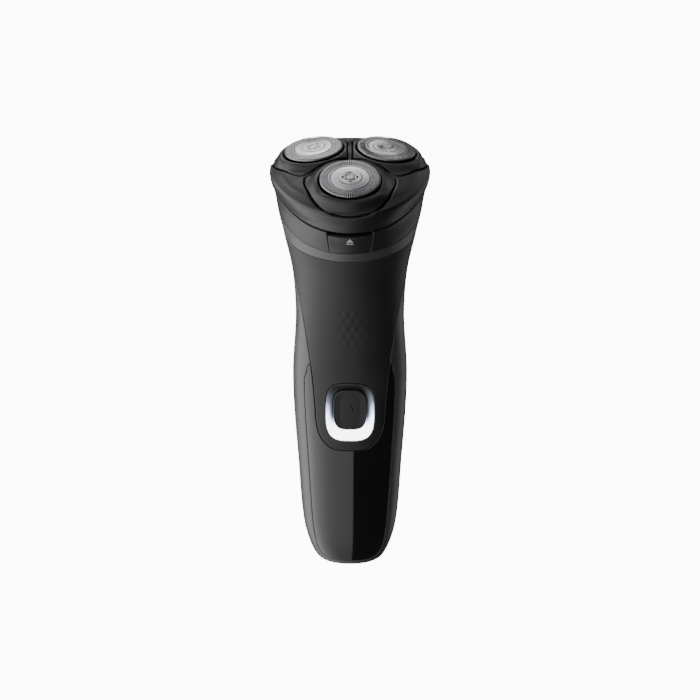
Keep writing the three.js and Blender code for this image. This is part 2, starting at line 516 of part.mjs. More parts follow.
const CAP_PROFILE = [[0, 0.5], [4.3, 0.3], [4.7, -0.1], [5.9, 0], [CAP_R - 0.8, 0], [CAP_R, -0.4],
  [CAP_R, -2.4], [CAP_R + 1.1, -2.4], [CAP_R + 1.1, -3.2], [CAP_R - 0.5, -3.2], [CAP_R - 0.5, -0.6], [0, -0.6]];
const HUB = { r: 4, low: -6.2, well: -3, bore: 3 };
const CUTTER_R = CAP_R - 1.4;    // runs inside the shaving head's side wall
const BLADE = { l: 2.7, t: 0.5, h: 1.6, at: CUTTER_R - 1.6 };
const cutter = () => {
  const blade = (k) => solid(new THREE.BoxGeometry(BLADE.l, BLADE.t, BLADE.h).rotateX(rad(-18))
    .translate(BLADE.at, 0, -1.75).rotateZ((k / 9) * 2 * Math.PI));
  return without(
    join(lathe([[0, -2.2], [CUTTER_R, -2.2], [CUTTER_R, -3], [HUB.r, -3], [HUB.r, HUB.low], [0, HUB.low]], 18),
      ...Array.from({ length: 9 }, (_, k) => blade(k))),
    rod(HUB.bore, HUB.low - 1, HUB.well, 0, 0, 12).subtract(
      join(...[-1, 1].map((s) => box(-0.6, 0.6, s > 0 ? 1.75 : -HUB.bore - 1, s > 0 ? HUB.bore + 1 : -1.75,
        HUB.low - 2, HUB.well + 1)))),
    box(-20, 20, -20, 20, -0.8, 5),
  );
};
const RETAINER = [[CAP_R - 2.5, -6.4], [CAP_R + 0.9, -6.4], [CAP_R + 0.9, -5.5], [CAP_R - 2.5, -5.5],
  [CAP_R - 2.5, -6.4]];
for (const [name, deg] of Object.entries(LOBE_AT)) {
  const seat = new THREE.Group();
  seat.position.set(CAP_PITCH * Math.cos(rad(deg)), CAP_PITCH * Math.sin(rad(deg)), CAP_W);
  seat.rotation.order = 'ZYX';
  seat.rotation.z = rad(deg);
  seat.rotation.y = CAP_TILT;
  unit.add(seat);
  seat.updateMatrix();
  const bore = (r, z0, z1) => solid(new THREE.CylinderGeometry(r, r, z1 - z0, 24)
    .rotateX(Math.PI / 2).translate(0, 0, (z0 + z1) / 2).applyMatrix4(seat.matrix));
  put(`petal_${name}`, without(
    both(crownOuter, extrude(turned(petalPlan(), deg), PETAL_LOW, 30)),
    crownInner, bore(CAP_R + RUN, -9, 9), bore(CAP_R + 1.1 + RUN, -12, -2.1),
  ), MAT.satin, unit);
  put(`shaving_head_${name}`, lathe(CAP_PROFILE, 22), MAT.steel, seat);
  put(`cutter_${name}`, cutter(), MAT.blade, seat);
  put(`retaining_ring_${name}`, lathe(RETAINER, 18),
    MAT.white, seat);
}

export default shaver;
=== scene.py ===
import json
import math

import bpy
import numpy as np
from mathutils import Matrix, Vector


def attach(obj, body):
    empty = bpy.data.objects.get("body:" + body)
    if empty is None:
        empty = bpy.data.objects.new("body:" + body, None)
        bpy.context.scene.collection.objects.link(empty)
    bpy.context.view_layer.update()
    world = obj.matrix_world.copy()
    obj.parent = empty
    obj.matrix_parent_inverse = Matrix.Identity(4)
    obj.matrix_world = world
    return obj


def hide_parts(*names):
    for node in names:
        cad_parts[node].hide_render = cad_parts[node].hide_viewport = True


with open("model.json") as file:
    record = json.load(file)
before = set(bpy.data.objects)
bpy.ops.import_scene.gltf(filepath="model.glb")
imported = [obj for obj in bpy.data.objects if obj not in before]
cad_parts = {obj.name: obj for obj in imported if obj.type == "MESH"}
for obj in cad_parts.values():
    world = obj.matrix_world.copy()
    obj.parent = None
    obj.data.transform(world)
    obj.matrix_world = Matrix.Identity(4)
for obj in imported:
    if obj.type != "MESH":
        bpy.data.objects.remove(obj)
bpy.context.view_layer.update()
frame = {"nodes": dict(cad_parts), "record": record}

# Cordless rotary shaver. Shapes are worked out in millimetres as functions of two
# parameters, and go into Blender in metres, in the CAD frame.
MM = 0.001

# ---------------------------------------------------------------- sizes, mm
WALL = 1.7
NECK_SEAM, STRIP_SEAM, RING_SEAM, TAB_SEAM = 0.04, 0.09, 0.12, 0.07
COVER_SEAM, PANEL_SEAM, PETAL_SEAM = 0.14, 0.16, 0.5
OUTSIDE = -9.0                   # a field's value well away from its piece
HANDLE_L, NECK_R = 133.65, 24.7
GRIP_W, GRIP_D, GRIP_POWER = 44.0, 39.4, 2.3
FOOT_SHARE, FOOT_ROUND = 0.82, 15.0
LEAN, STRAIGHT = math.radians(17), 0.63
NECK_H, HEAD_R, WIDE_W = 14.8, 28.9, 6.5
CAP_R, CAP_PITCH, CAP_W, CAP_TILT = 10.7, 15.3, 13.9, math.radians(7.5)
STRIP_SLOPE, STRIP_W = 0.104, 7.8
LOBES_AT = {"front": -90, "left": 150, "right": 30}
HALF_W = [(s * HANDLE_L, k * GRIP_W / 2) for s, k in
          ((0, .727), (.1, .836), (.3, .925), (.576, 1), (.778, .936), (.898, .991))] + [(HANDLE_L, NECK_R)]
HALF_D = [(s * HANDLE_L, k * GRIP_D / 2) for s, k in
          ((0, .8), (.1, .832), (.3, .914), (.576, 1), (.778, .959), (.898, 1.086))] + [(HANDLE_L, NECK_R)]
RADII = [(w, HEAD_R + d) for w, d in
         ((-NECK_H, NECK_R - HEAD_R), (-STRIP_W, -2.6), (0, -1.55), (1.4, -1.2), (3.4, -.5), (WIDE_W, 0))]
LOBE_SWELL = [(-NECK_H, .1), (-STRIP_W, 1), (0, 1.9), (WIDE_W, 1.4)]
SHIELD = ((0, .385), (4, .386), (7, .392), (9.8, .409), (11.8, .435), (12.8, .473), (13.2, .53), (14, .6),
          (14.8, .645), (16.9, .742), (18.8, .815), (21.6, .878), (27, .95), (31, 1.08), (0, 1.16))
PANEL = ((0, .017), (6, .018), (9.8, .025), (12.2, .045), (13.5, .082), (14.5, .14), (15.5, .278),
         (16.2, .38), (16.8, .48), (17.1, .56), (17, .59), (16.2, .61), (14.2, .64), (0, .68))
RING_Z, BUTTON_Z = 67.3, 68.2
RING_HALF, GROOVE_HALF, BUTTON_HALF = (9.05, 11.65), (6.75, 8.35), (6.3, 8.0)
FOOT_RUN = 12.0                  # range of the handle's parameter under its foot


# ---------------------------------------------------------------- curves and fields
def smooth(t):
    """The soft step 3t^2 - 2t^3, held at 0 and 1 outside them."""
    t = np.clip(t, 0, 1)
    return t * t * (3 - 2 * t)


def through(stations, at):
    """A smooth curve through stations: a cubic between neighbours, whose slope at a
    station is the two chord slopes, each weighted by the other's span."""
    s, k = np.array(stations, float).T
    h = np.diff(s)
    d = np.diff(k) / h
    m = np.concatenate([d[:1], (d[:-1] * h[1:] + d[1:] * h[:-1]) / (h[:-1] + h[1:]), d[-1:]])
    t = np.clip(at, s[0], s[-1])
    i = np.clip(np.searchsorted(s, t, side="right") - 1, 0, len(h) - 1)
    q = (t - s[i]) / h[i]
    return ((2 * q**3 - 3 * q**2 + 1) * k[i] + (q**3 - 2 * q**2 + q) * h[i] * m[i]
            + (3 * q**2 - 2 * q**3) * k[i + 1] + (q**3 - q**2) * h[i] * m[i + 1])


def spline(points, per=8):
    """A closed-ended Catmull-Rom curve: each span is the cubic that leaves a point
    along the line joining its two neighbours."""
    p = np.array(points, float)
    p = np.concatenate([p[:1], p, p[-1:]])
    t = np.arange(per) / per
    a, b, c, d = (p[i:len(p) - 3 + i, None, :] for i in range(4))
    t = t[None, :, None]
    q = .5 * (2 * b + (c - a) * t + (2 * a - 5 * b + 4 * c - d) * t**2 + (3 * b - a - 3 * c + d) * t**3)
    return np.concatenate([q.reshape(-1, 2), p[-1:]])


def mirrored(half):
    """The right half of an outline and its mirror image, as one closed outline in x and z."""
    right = spline([(x, s * HANDLE_L) for x, s in half])
    return np.concatenate([right, right[-2:0:-1] * (-1, 1)])


def inside_of(outline, x, z):
    """Distance from points to a closed outline, positive inside: the shortest distance
    to its sides, with the sign from how many sides a ray to the right crosses."""
    a, b = outline, np.roll(outline, -1, 0)
    e = b - a
    rise = np.where(np.abs(e[:, 1]) < 1e-12, 1e-12, e[:, 1])
    out = np.empty(len(x))
    batch = 20000
    for k in range(0, len(x), batch):
        px, pz = x[k:k + batch, None], z[k:k + batch, None]
        dx, dz = px - a[:, 0], pz - a[:, 1]
        t = np.clip((dx * e[:, 0] + dz * e[:, 1]) / (e**2).sum(1).clip(1e-12), 0, 1)
        d = np.hypot(dx - t * e[:, 0], dz - t * e[:, 1]).min(1)
        crosses = ((a[:, 1] > pz) != (b[:, 1] > pz)) & (px < a[:, 0] + dz * e[:, 0] / rise)
        out[k:k + batch] = np.where(crosses.sum(1) % 2 == 1, d, -d)
    return out


def squircle(x, z, half, zc, power=3.4):
    """Distance inside a rounded square: one less the power norm of x and z over their
    half sizes, times the smaller half size."""
    n = (np.abs(x / half[0])**power + np.abs((z - zc) / half[1])**power)**(1 / power)
    return (1 - n) * min(half)


def blended(a, b, reach):
    """The lesser of two distances, taken off a little within reach of where they are
    alike, so that the corner between them is round."""
    near = np.clip(1 - np.abs(a - b) / reach, 0, 1)
    return np.minimum(a, b) - reach * near**2 / 4


# ---------------------------------------------------------------- surfaces
def handle_point(u, v):
    """The handle's skin. u is the angle round it, v the height along its axis: a
    superellipse whose half sizes follow their stations, rounded in at the foot, and
    turned about X by the lean as it nears the neck. Below v = 0 it is the flat foot,
    where v runs in to the middle."""
    inward = np.clip(1 + v / FOOT_RUN, 0, 1)
    z = np.clip(v, 0, HANDLE_L)
    t = np.clip(1 - z / FOOT_ROUND, 0, 1)
    foot = (FOOT_SHARE + (1 - FOOT_SHARE) * np.sqrt(1 - t * t)) * inward
    s = smooth((z - STRAIGHT * HANDLE_L) / ((1 - STRAIGHT) * HANDLE_L))
    power = 2 / (GRIP_POWER - (GRIP_POWER - 2) * s)
    c, q = np.cos(u), np.sin(u)
    y = through(HALF_D, z) * foot * np.sign(q) * np.abs(q)**power
    over = np.maximum(v - HANDLE_L, 0)
    return np.stack([through(HALF_W, z) * foot * np.sign(c) * np.abs(c)**power,
                     y * np.cos(LEAN * s) - over * math.sin(LEAN),
                     z + y * np.sin(LEAN * s) + over * math.cos(LEAN)], 1)


def front_point(u, v):
    """The handle's skin seen from the front: u is x, v is the height, and the depth
    comes from the superellipse. It holds below the part that leans."""
    a, b = through(HALF_W, v), through(HALF_D, v)
    depth = (1 - np.clip(np.abs(u / a), 0, 1)**GRIP_POWER)**(1 / GRIP_POWER)
    return np.stack([u, -b * depth, v], 1)


def rim(theta, w):
    """Radius of the shaving unit and its neck: a mean radius with three lobes on it."""
    return through(RADII, w) + through(LOBE_SWELL, w) * np.cos(3 * (theta + math.pi / 2))


def neck_point(u, v):
    """Neck skin in the leaning frame: angle u, height v above the closing plane."""
    r = rim(u, v)
    return np.stack([r * np.cos(u), r * np.sin(u), v], 1)


LOBE_DIRS = np.array([(math.cos(math.radians(d)), math.sin(math.radians(d))) for d in LOBES_AT.values()])


def crown(x, y):
    """Height of the crown over its plan: three tilted tables, one round each shaving
    head, a little under its rim, falling away in a soft step outside a flat margin."""
    p = np.stack([x, y], 1)
    along = p @ LOBE_DIRS.T
    k = along.argmax(1)
    out = along.max(1) - CAP_PITCH
    away = np.maximum(0, np.linalg.norm(p - CAP_PITCH * LOBE_DIRS[k], axis=1) - CAP_R - .9)
    return CAP_W - 1.0 - math.tan(CAP_TILT) * out - 1.25 * smooth((away - .5) / 3.0) - .22 * away


def shoulder(p):
    """The crown's outer corner stands a little fuller, and the side under it is drawn in:
    two bell curves of height, outside a radius of 24."""
    h = p[:, 2]
    bells = .55 * np.exp(-((h - 11.6) / 1.3)**2) - .6 * np.exp(-((h - 8.6) / 1.2)**2)
    return bells * smooth((np.hypot(p[:, 0], p[:, 1]) - 23.5) / 2.5)


def travelled(line):
    """Length along a line of points, from its first to each."""
    return np.concatenate([[0], np.cumsum(np.linalg.norm(np.diff(line, axis=0), axis=1))])


# the crown's mean section, a sixth-power superellipse: its angle, crowded towards both
# ends, and the length along it from the rim
CROWN_RISE = 7.1
even = np.linspace(0, 1, 4001)
CROWN_TURN = math.pi / 2 * even**3 / (even**3 + (1 - even)**3)
CROWN_RUN = travelled(np.stack([HEAD_R * np.cos(CROWN_TURN).clip(0)**(1 / 3),
                                CROWN_RISE * np.sin(CROWN_TURN)**(1 / 3)], 1))
CROWN_L = CROWN_RUN[-1]


def unit_point(u, v):
    """Skin of the shaving unit in the leaning frame. For v below 0 it is the side, at
    that height under the widest line; above 0, v is the length along a sixth-power
    superellipse from the rim in to the middle, stretched to the crown's height."""
    turn = np.interp(v, CROWN_RUN, CROWN_TURN)
    share, lift = np.cos(turn).clip(0)**(1 / 3), np.sin(turn)**(1 / 3)
    w = WIDE_W + np.minimum(v, 0)
    r = rim(u, w) * np.where(v > 0, share, 1)
    x, y = r * np.cos(u), r * np.sin(u)
    return np.stack([x, y, np.where(v > 0, WIDE_W + (crown(x, y) - WIDE_W) * lift, w)], 1)


def lean(p):
    """From the leaning frame to the shaver's own: turned about X, then lifted to the neck."""
    c, s = math.cos(LEAN), math.sin(LEAN)
    return np.stack([p[:, 0], p[:, 1] * c - p[:, 2] * s - NECK_H * s,
                     p[:, 1] * s + p[:, 2] * c + HANDLE_L + NECK_H * c], 1)


def seat(lobe):
    """Place of a shaving head: moved to its lobe and tilted outwards, in the leaning frame."""
    a = math.radians(LOBES_AT[lobe])
    ca, sa, ct, st = math.cos(a), math.sin(a), math.cos(CAP_TILT), math.sin(CAP_TILT)
    turn = np.array([[ca * ct, -sa, ca * st], [sa * ct, ca, sa * st], [-st, 0, ct]])
    return turn, np.array([CAP_PITCH * ca, CAP_PITCH * sa, CAP_W])


# ---------------------------------------------------------------- mesh making
def add_piece(name, points, faces, body, stands_for, finish, values=None, uv=None):
    """A finished object from points in millimetres, in the shaver's own frame, and its
    faces. values are named numbers at each point that its material reads."""
    mesh = bpy.data.meshes.new(name)
    mesh.from_pydata(points * MM, [], faces.tolist())
    mesh.validate()
    mesh.shade_smooth()
    mesh.set_sharp_from_angle(angle=math.radians(42))
    for key, value in (values or {}).items():
        mesh.attributes.new(key, "FLOAT", "POINT").data.foreach_set("value", value.astype(np.float32))
    if uv is not None:
        corner = np.empty(len(mesh.loops), np.int32)
        mesh.loops.foreach_get("vertex_index", corner)
        mesh.uv_layers.new(name="turned").data.foreach_set("uv", uv[corner].astype(np.float32).ravel())
    mesh.materials.append(finish)
    piece = bpy.data.objects.new(name, mesh)
    bpy.context.scene.collection.objects.link(piece)
    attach(piece, body)
    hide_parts(*stands_for)


def grid(u, v):
    """Parameters of a grid and its triangles, which face along du x dv."""
    uv = np.stack(np.meshgrid(u, v, indexing="ij"), -1).reshape(-1, 2)
    i = np.arange(len(u) * len(v)).reshape(len(u), len(v))
    a, b, c, d = (q.ravel() for q in (i[:-1, :-1], i[1:, :-1], i[1:, 1:], i[:-1, 1:]))
    return uv, np.concatenate([np.stack([a, b, c], 1), np.stack([a, c, d], 1)])


STEP = (4e-4, 8e-3)


def slopes(point, uv):
    """The surface's two tangents at each parameter pair, from points a small step apart."""
    u, v = uv.T
    return ((point(u + STEP[0], v) - point(u - STEP[0], v)) / (2 * STEP[0]),
            (point(u, v + STEP[1]) - point(u, v - STEP[1])) / (2 * STEP[1]))


def in_millimetres(point, raw):
    """A field of space as a distance along a surface: its value over the length of its
    gradient there, which the surface's own metric gives."""
    def field(uv):
        u, v = uv.T
        pu, pv = slopes(point, uv)
        fu = (raw(point(u + STEP[0], v)) - raw(point(u - STEP[0], v))) / (2 * STEP[0])
        fv = (raw(point(u, v + STEP[1])) - raw(point(u, v - STEP[1]))) / (2 * STEP[1])
        e, f, g = (pu * pu).sum(1), (pu * pv).sum(1), (pv * pv).sum(1)
        size = (g * fu**2 - 2 * f * fu * fv + e * fv**2) / np.maximum(e * g - f * f, 1e-9)
        return raw(point(u, v)) / np.sqrt(np.clip(size, .04, 25))
    return field


def split(uv, tris, f, field, level):
    """Cuts each triangle that the line field = level crosses into three. The crossing on
    an edge is found by false position, so it lies on the true line."""
    g = np.where(np.abs(f - level) < 1e-7, 1e-7, f - level)
    s = g[tris] > 0
    mixed = s.any(1) & ~s.all(1)
    t = tris[mixed]
    if not len(t):
        return uv, tris, f
    odd = np.where(s[mixed].sum(1) == 1, s[mixed].argmax(1), (~s[mixed]).argmax(1))
    t = t[np.arange(len(t))[:, None], (odd[:, None] + np.arange(3)) % 3]
    edges = np.sort(np.concatenate([t[:, :2], t[:, ::2]]), axis=1)
    pairs, where = np.unique(edges, axis=0, return_inverse=True)
    where = where.ravel() + len(uv)
    lo, hi = uv[pairs[:, 0]], uv[pairs[:, 1]]
    fa, fb = g[pairs[:, 0]].copy(), g[pairs[:, 1]].copy()
    ta, tb = np.zeros(len(pairs)), np.ones(len(pairs))
    for _ in range(3):
        k = ta + (tb - ta) * np.clip(fa / (fa - fb), .02, .98)
        found = field(lo + (hi - lo) * k[:, None]) - level
        near = np.sign(found) == np.sign(fa)
        ta, fa = np.where(near, k, ta), np.where(near, found, fa)
        tb, fb = np.where(near, tb, k), np.where(near, fb, found)
    k = ta + (tb - ta) * fa / np.where(np.abs(fa - fb) < 1e-12, 1e-12, fa - fb)
    p, q = where[:len(t)], where[len(t):]
    return (np.concatenate([uv, lo + (hi - lo) * k[:, None]]),
            np.concatenate([tris[~mixed], np.stack([t[:, 0], p, q], 1), np.stack([p, t[:, 1], t[:, 2]], 1),
                            np.stack([p, t[:, 2], q], 1)]),
            np.concatenate([f, np.full(len(pairs), level)]))


def weld(points, tris):
    """Joins points that fall together, as at a pole or where a grid closes on itself."""
    key = np.round(points, 4) + 0.0
    _, first, where = np.unique(key, axis=0, return_index=True, return_inverse=True)
    tris = where.ravel()[tris]
    tris = tris[(tris[:, 0] != tris[:, 1]) & (tris[:, 1] != tris[:, 2]) & (tris[:, 2] != tris[:, 0])]
    used, small = np.unique(tris, return_inverse=True)
    return first[used], small.reshape(-1, 3)


def walled(tris, n):
    """The outer sheet, the same sheet turned over for the inside, and a wall round every
    open edge. The inside's points follow the n outer ones."""
    e = np.concatenate([tris[:, [0, 1]], tris[:, [1, 2]], tris[:, [2, 0]]])
    code, back = e[:, 0].astype(np.int64) * n + e[:, 1], e[:, 1].astype(np.int64) * n + e[:, 0]
    i, j = e[~np.isin(code, back)].T
    return np.concatenate([tris, tris[:, ::-1] + n, np.stack([j, i, i + n], 1),
                           np.stack([j, i + n, j + n], 1)])


def skin(point, raw, u, v, thick=WALL, roll=.35, relief=None, normal_from=-1e9):
    """A moulded shell: the part of a surface where the field raw is above 0, with its
    edge rolled over in a quarter circle of radius roll, and its inside a thickness
    below. relief(points, distance to the edge) lifts it off the surface. It gives the
    points, the faces, each point's distance to the edge, and the surface's own points."""
    uv, tris = grid(u, v)
    field = in_millimetres(point, raw)
    f = field(uv)
    for share in (0, .13, .42, 1):
        uv, tris, f = split(uv, tris, f, field, share * roll)
    tris = tris[(f[tris].min(1) > -1e-6) & (f[tris].max(1) > 1e-6)]
    first, tris = weld(point(*uv.T), tris)
    uv, f = uv[first], f[first]
    p = point(*uv.T)
    pu, pv = slopes(point, np.stack([uv[:, 0], np.maximum(uv[:, 1], normal_from)], 1))
    n = np.cross(pu, pv)
    n /= np.linalg.norm(n, axis=1, keepdims=True).clip(1e-12)
    low = roll - np.clip(f, 0, roll)
    drop = roll - np.sqrt(np.maximum(roll**2 - low**2, 0))
    lift = relief(p, f) if relief else 0
    outer, inner = p + n * (lift - drop)[:, None], p - n * thick
    return np.concatenate([outer, inner]), walled(tris, len(p)), np.concatenate([f, f * 0 + 9]), p


def turned(profile, columns=64):
    """A profile of (radius, height) pairs carried round the Z axis; its ends on the axis close."""
    r, z = np.array(profile, float).T
    a = np.linspace(0, 2 * math.pi, columns + 1)
    height = np.broadcast_to(z, (columns + 1, len(r)))
    p = np.stack([np.outer(np.cos(a), r), np.outer(np.sin(a), r), height], -1)
    _, tris = grid(a, r)
    first, tris = weld(p.reshape(-1, 3), tris)
    return p.reshape(-1, 3)[first], tris


def block(lo, hi, power=.22, n=40):
    """A box with soft edges: a superquadric, whose sines and cosines of two angles are
    raised to a small power, stretched between two corners."""
    lo, hi = np.array(lo, float), np.array(hi, float)
    uv, tris = grid(np.linspace(0, 2 * math.pi, n + 1), np.linspace(-math.pi / 2, math.pi / 2, n // 2 + 1))
    f = lambda q: np.sign(q) * np.abs(q)**power
    c = f(np.cos(uv[:, 1]).clip(0))
    p = np.stack([f(np.cos(uv[:, 0])) * c, f(np.sin(uv[:, 0])) * c, f(np.sin(uv[:, 1]))], 1)
    first, tris = weld(p, tris)
    return (lo + hi) / 2 + p[first] * (hi - lo) / 2, tris


def together(*parts):
    """Several closed shapes as one list of points and faces."""
    points, faces, n = [], [], 0
    for p, t in parts:
        points.append(p)
        faces.append(np.asarray(t) + n)
        n += len(p)
    return np.concatenate(points), np.concatenate(faces)


# ---------------------------------------------------------------- finishes
def node(tree, kind, links=(), **values):
    """A shader node with its settings, its inputs' numbers, and its links."""
    made = tree.nodes.new(kind)
    for key, value in values.items():
        if hasattr(made, key):
            setattr(made, key, value)
        else:
            made.inputs[key.replace("_", " ")].default_value = value
    for socket, source in links:
        tree.links.new(source, made.inputs[socket])
    return made


def blank(name):
    """A material holding one Principled shader, and that shader."""
    material = bpy.data.materials.new(name)
    material.use_nodes = True
    tree = material.node_tree
    return material, tree, tree.nodes["Principled BSDF"]


def spread(tree, source, low, high, from_low=0.3, from_high=0.7):
    """A texture's value moved from one range to another."""
    return node(tree, "ShaderNodeMapRange", [("Value", source)], From_Min=from_low, From_Max=from_high,
                To_Min=low, To_Max=high).outputs["Result"]


def plastic(name, colour, rough, grain=5200, height=.10, mottle=.12, coat=0.0, specular=.5, edge_lightening=0.0,
            sheen=0.0, pits=0.0):
    """Moulded plastic: spark-eroded grain from fine noise, a broad variation of tone and
    roughness, and edges made slightly lighter, broken up by noise, where the piece stores
    its edge distance."""
    material, tree, shader = blank(name)
    at = node(tree, "ShaderNodeTexCoord").outputs["Object"]
    fine = node(tree, "ShaderNodeTexNoise", [("Vector", at)], Scale=grain, Detail=3.0, Roughness=.6)
    broad = node(tree, "ShaderNodeTexNoise", [("Vector", at)], Scale=70.0, Detail=4.0, Roughness=.55)
    tone = spread(tree, broad.outputs["Fac"], 1 - mottle, 1 + mottle)
    base = node(tree, "ShaderNodeVectorMath", [("Scale", tone)], operation="SCALE")
    base.inputs[0].default_value = colour
    result = base.outputs["Vector"]
    # edges made lighter near the piece's stored edge distance, broken up by noise
    if edge_lightening:
        edge = node(tree, "ShaderNodeAttribute", attribute_name="edge").outputs["Fac"]
        edge_noise = node(tree, "ShaderNodeTexNoise", [("Vector", at)], Scale=900.0, Detail=3.0)
        edge_lighter_mask = node(tree, "ShaderNodeMath", [(0, edge), (1, edge_noise.outputs["Fac"])], operation="MULTIPLY")
        mix = node(tree, "ShaderNodeMix", [("Factor", edge_lighter_mask.outputs[0]), (6, result)], data_type="RGBA")
        mix.inputs[7].default_value = (*[c * (1 + edge_lightening) + .012 * edge_lightening for c in colour], 1)
        result = mix.outputs[2]
    tree.links.new(result, shader.inputs["Base Color"])
    tree.links.new(spread(tree, broad.outputs["Fac"], rough * .9, rough * 1.1), shader.inputs["Roughness"])
    bump = node(tree, "ShaderNodeBump", [("Height", fine.outputs["Fac"])], Strength=height, Distance=.00004)
    if pits:
        cells = node(tree, "ShaderNodeTexVoronoi", [("Vector", at)], Scale=grain * .35)
        under = [("Height", cells.outputs["Distance"]), ("Normal", bump.outputs[0])]
        bump = node(tree, "ShaderNodeBump", under, Strength=pits, Distance=.00003)
    tree.links.new(bump.outputs["Normal"], shader.inputs["Normal"])
    shader.inputs["Specular IOR Level"].default_value = specular
    if coat:
        shader.inputs["Coat Weight"].default_value = coat
        shader.inputs["Coat Roughness"].default_value = .04
    if sheen:
        shader.inputs["Sheen Weight"].default_value = sheen
        shader.inputs["Sheen Roughness"].default_value = .4
    return material


def metal(name, colour, rough, brush=(1, 1, 14), scale=900, height=.08):
    """Plated or ground metal: noise drawn out along one axis for the grinding marks, in
    tone, roughness and relief."""
    material, tree, shader = blank(name)
    at = node(tree, "ShaderNodeTexCoord").outputs["Object"]
    drawn = node(tree, "ShaderNodeMapping", [("Vector", at)], Scale=brush)
    marks = node(tree, "ShaderNodeTexNoise", [("Vector", drawn.outputs[0])], Scale=scale, Detail=5.0,
                 Roughness=.65)
    tone = node(tree, "ShaderNodeVectorMath", [("Scale", spread(tree, marks.outputs["Fac"], .86, 1.08))],
                operation="SCALE")
    tone.inputs[0].default_value = colour
    tree.links.new(tone.outputs["Vector"], shader.inputs["Base Color"])
    tree.links.new(spread(tree, marks.outputs["Fac"], rough * .75, rough * 1.3), shader.inputs["Roughness"])
    bump = node(tree, "ShaderNodeBump", [("Height", marks.outputs["Fac"])], Strength=height, Distance=.00003)
    tree.links.new(bump.outputs["Normal"], shader.inputs["Normal"])
    shader.inputs["Metallic"].default_value = 1.0
    return material


def turned_steel(name):
    """Steel turned on a lathe: fine rings that follow the piece's own radius, in relief and
    tone, painted shade that darkens it towards near black where the piece stores shade,
    a haze in the roughness, and a highlight drawn out round the axis."""
    material, tree, shader = blank(name)
    own = node(tree, "ShaderNodeUVMap", uv_map="turned").outputs["UV"]
    at = node(tree, "ShaderNodeTexCoord").outputs["Object"]
    drawn = node(tree, "ShaderNodeMapping", [("Vector", own)], Scale=(.03, 24.0, 1.0))
    rings = node(tree, "ShaderNodeTexNoise", [("Vector", drawn.outputs[0])], Scale=1.0, Detail=4.0,
                 Roughness=.7)
    haze = node(tree, "ShaderNodeTexNoise", [("Vector", at)], Scale=160.0, Detail=4.0)
    base = node(tree, "ShaderNodeVectorMath", [("Scale", spread(tree, rings.outputs["Fac"], .8, 1.06))],
                operation="SCALE")
    base.inputs[0].default_value = (.62, .63, .65)
    # painted shade: the stored shade mixes the steel towards near black
    painted_shade_mask = node(tree, "ShaderNodeAttribute", attribute_name="shade").outputs["Fac"]
    mix = node(tree, "ShaderNodeMix", [("Factor", painted_shade_mask), (6, base.outputs["Vector"])], data_type="RGBA")
    mix.inputs[7].default_value = (.018, .018, .02, 1)
    tree.links.new(mix.outputs[2], shader.inputs["Base Color"])
    tree.links.new(spread(tree, haze.outputs["Fac"], .25, .29), shader.inputs["Roughness"])
    bump = node(tree, "ShaderNodeBump", [("Height", rings.outputs["Fac"])], Strength=.12, Distance=.00002)
    tree.links.new(bump.outputs["Normal"], shader.inputs["Normal"])
    tree.links.new(node(tree, "ShaderNodeTangent", direction_type="UV_MAP", uv_map="turned").outputs[0],
                   shader.inputs["Tangent"])
    shader.inputs["Metallic"].default_value = 1.0
    shader.inputs["Anisotropic"].default_value = .8
    return material


def light_guide(name):
    """Milky light guide: white where the lamp under it shines, fading through a cold
    blue to dark plastic, by the brightness the piece stores at each point."""
    material, tree, shader = blank(name)
    glow = node(tree, "ShaderNodeAttribute", attribute_name="glow").outputs["Fac"]
    at = node(tree, "ShaderNodeTexCoord").outputs["Object"]
    cloud = node(tree, "ShaderNodeTexNoise", [("Vector", at)], Scale=500.0, Detail=2.0)
    ramp = node(tree, "ShaderNodeValToRGB", [("Fac", glow)])
    stops = ramp.color_ramp.elements
    stops[0].position, stops[0].color = 0.0, (.0, .0, .0, 1)
    stops[1].position, stops[1].color = 1.0, (1, 1, 1, 1)
    for place, colour in ((.28, (.03, .035, .05, 1)), (.55, (.22, .26, .42, 1)), (.8, (.72, .8, .98, 1))):
        stops.new(place).color = colour
    clouded = spread(tree, cloud.outputs["Fac"], .96, 1.04)
    tone = node(tree, "ShaderNodeVectorMath", [(0, ramp.outputs[0]), ("Scale", clouded)], operation="SCALE")
    tree.links.new(tone.outputs["Vector"], shader.inputs["Emission Color"])
    shader.inputs["Emission Strength"].default_value = 6.0
    body = node(tree, "ShaderNodeMapRange", [("Value", glow)], To_Min=.02, To_Max=.55)
    grey = node(tree, "ShaderNodeCombineColor", [(k, body.outputs[0]) for k in range(3)])
    tree.links.new(grey.outputs[0], shader.inputs["Base Color"])
    tree.links.new(spread(tree, cloud.outputs["Fac"], .28, .4), shader.inputs["Roughness"])
    return material


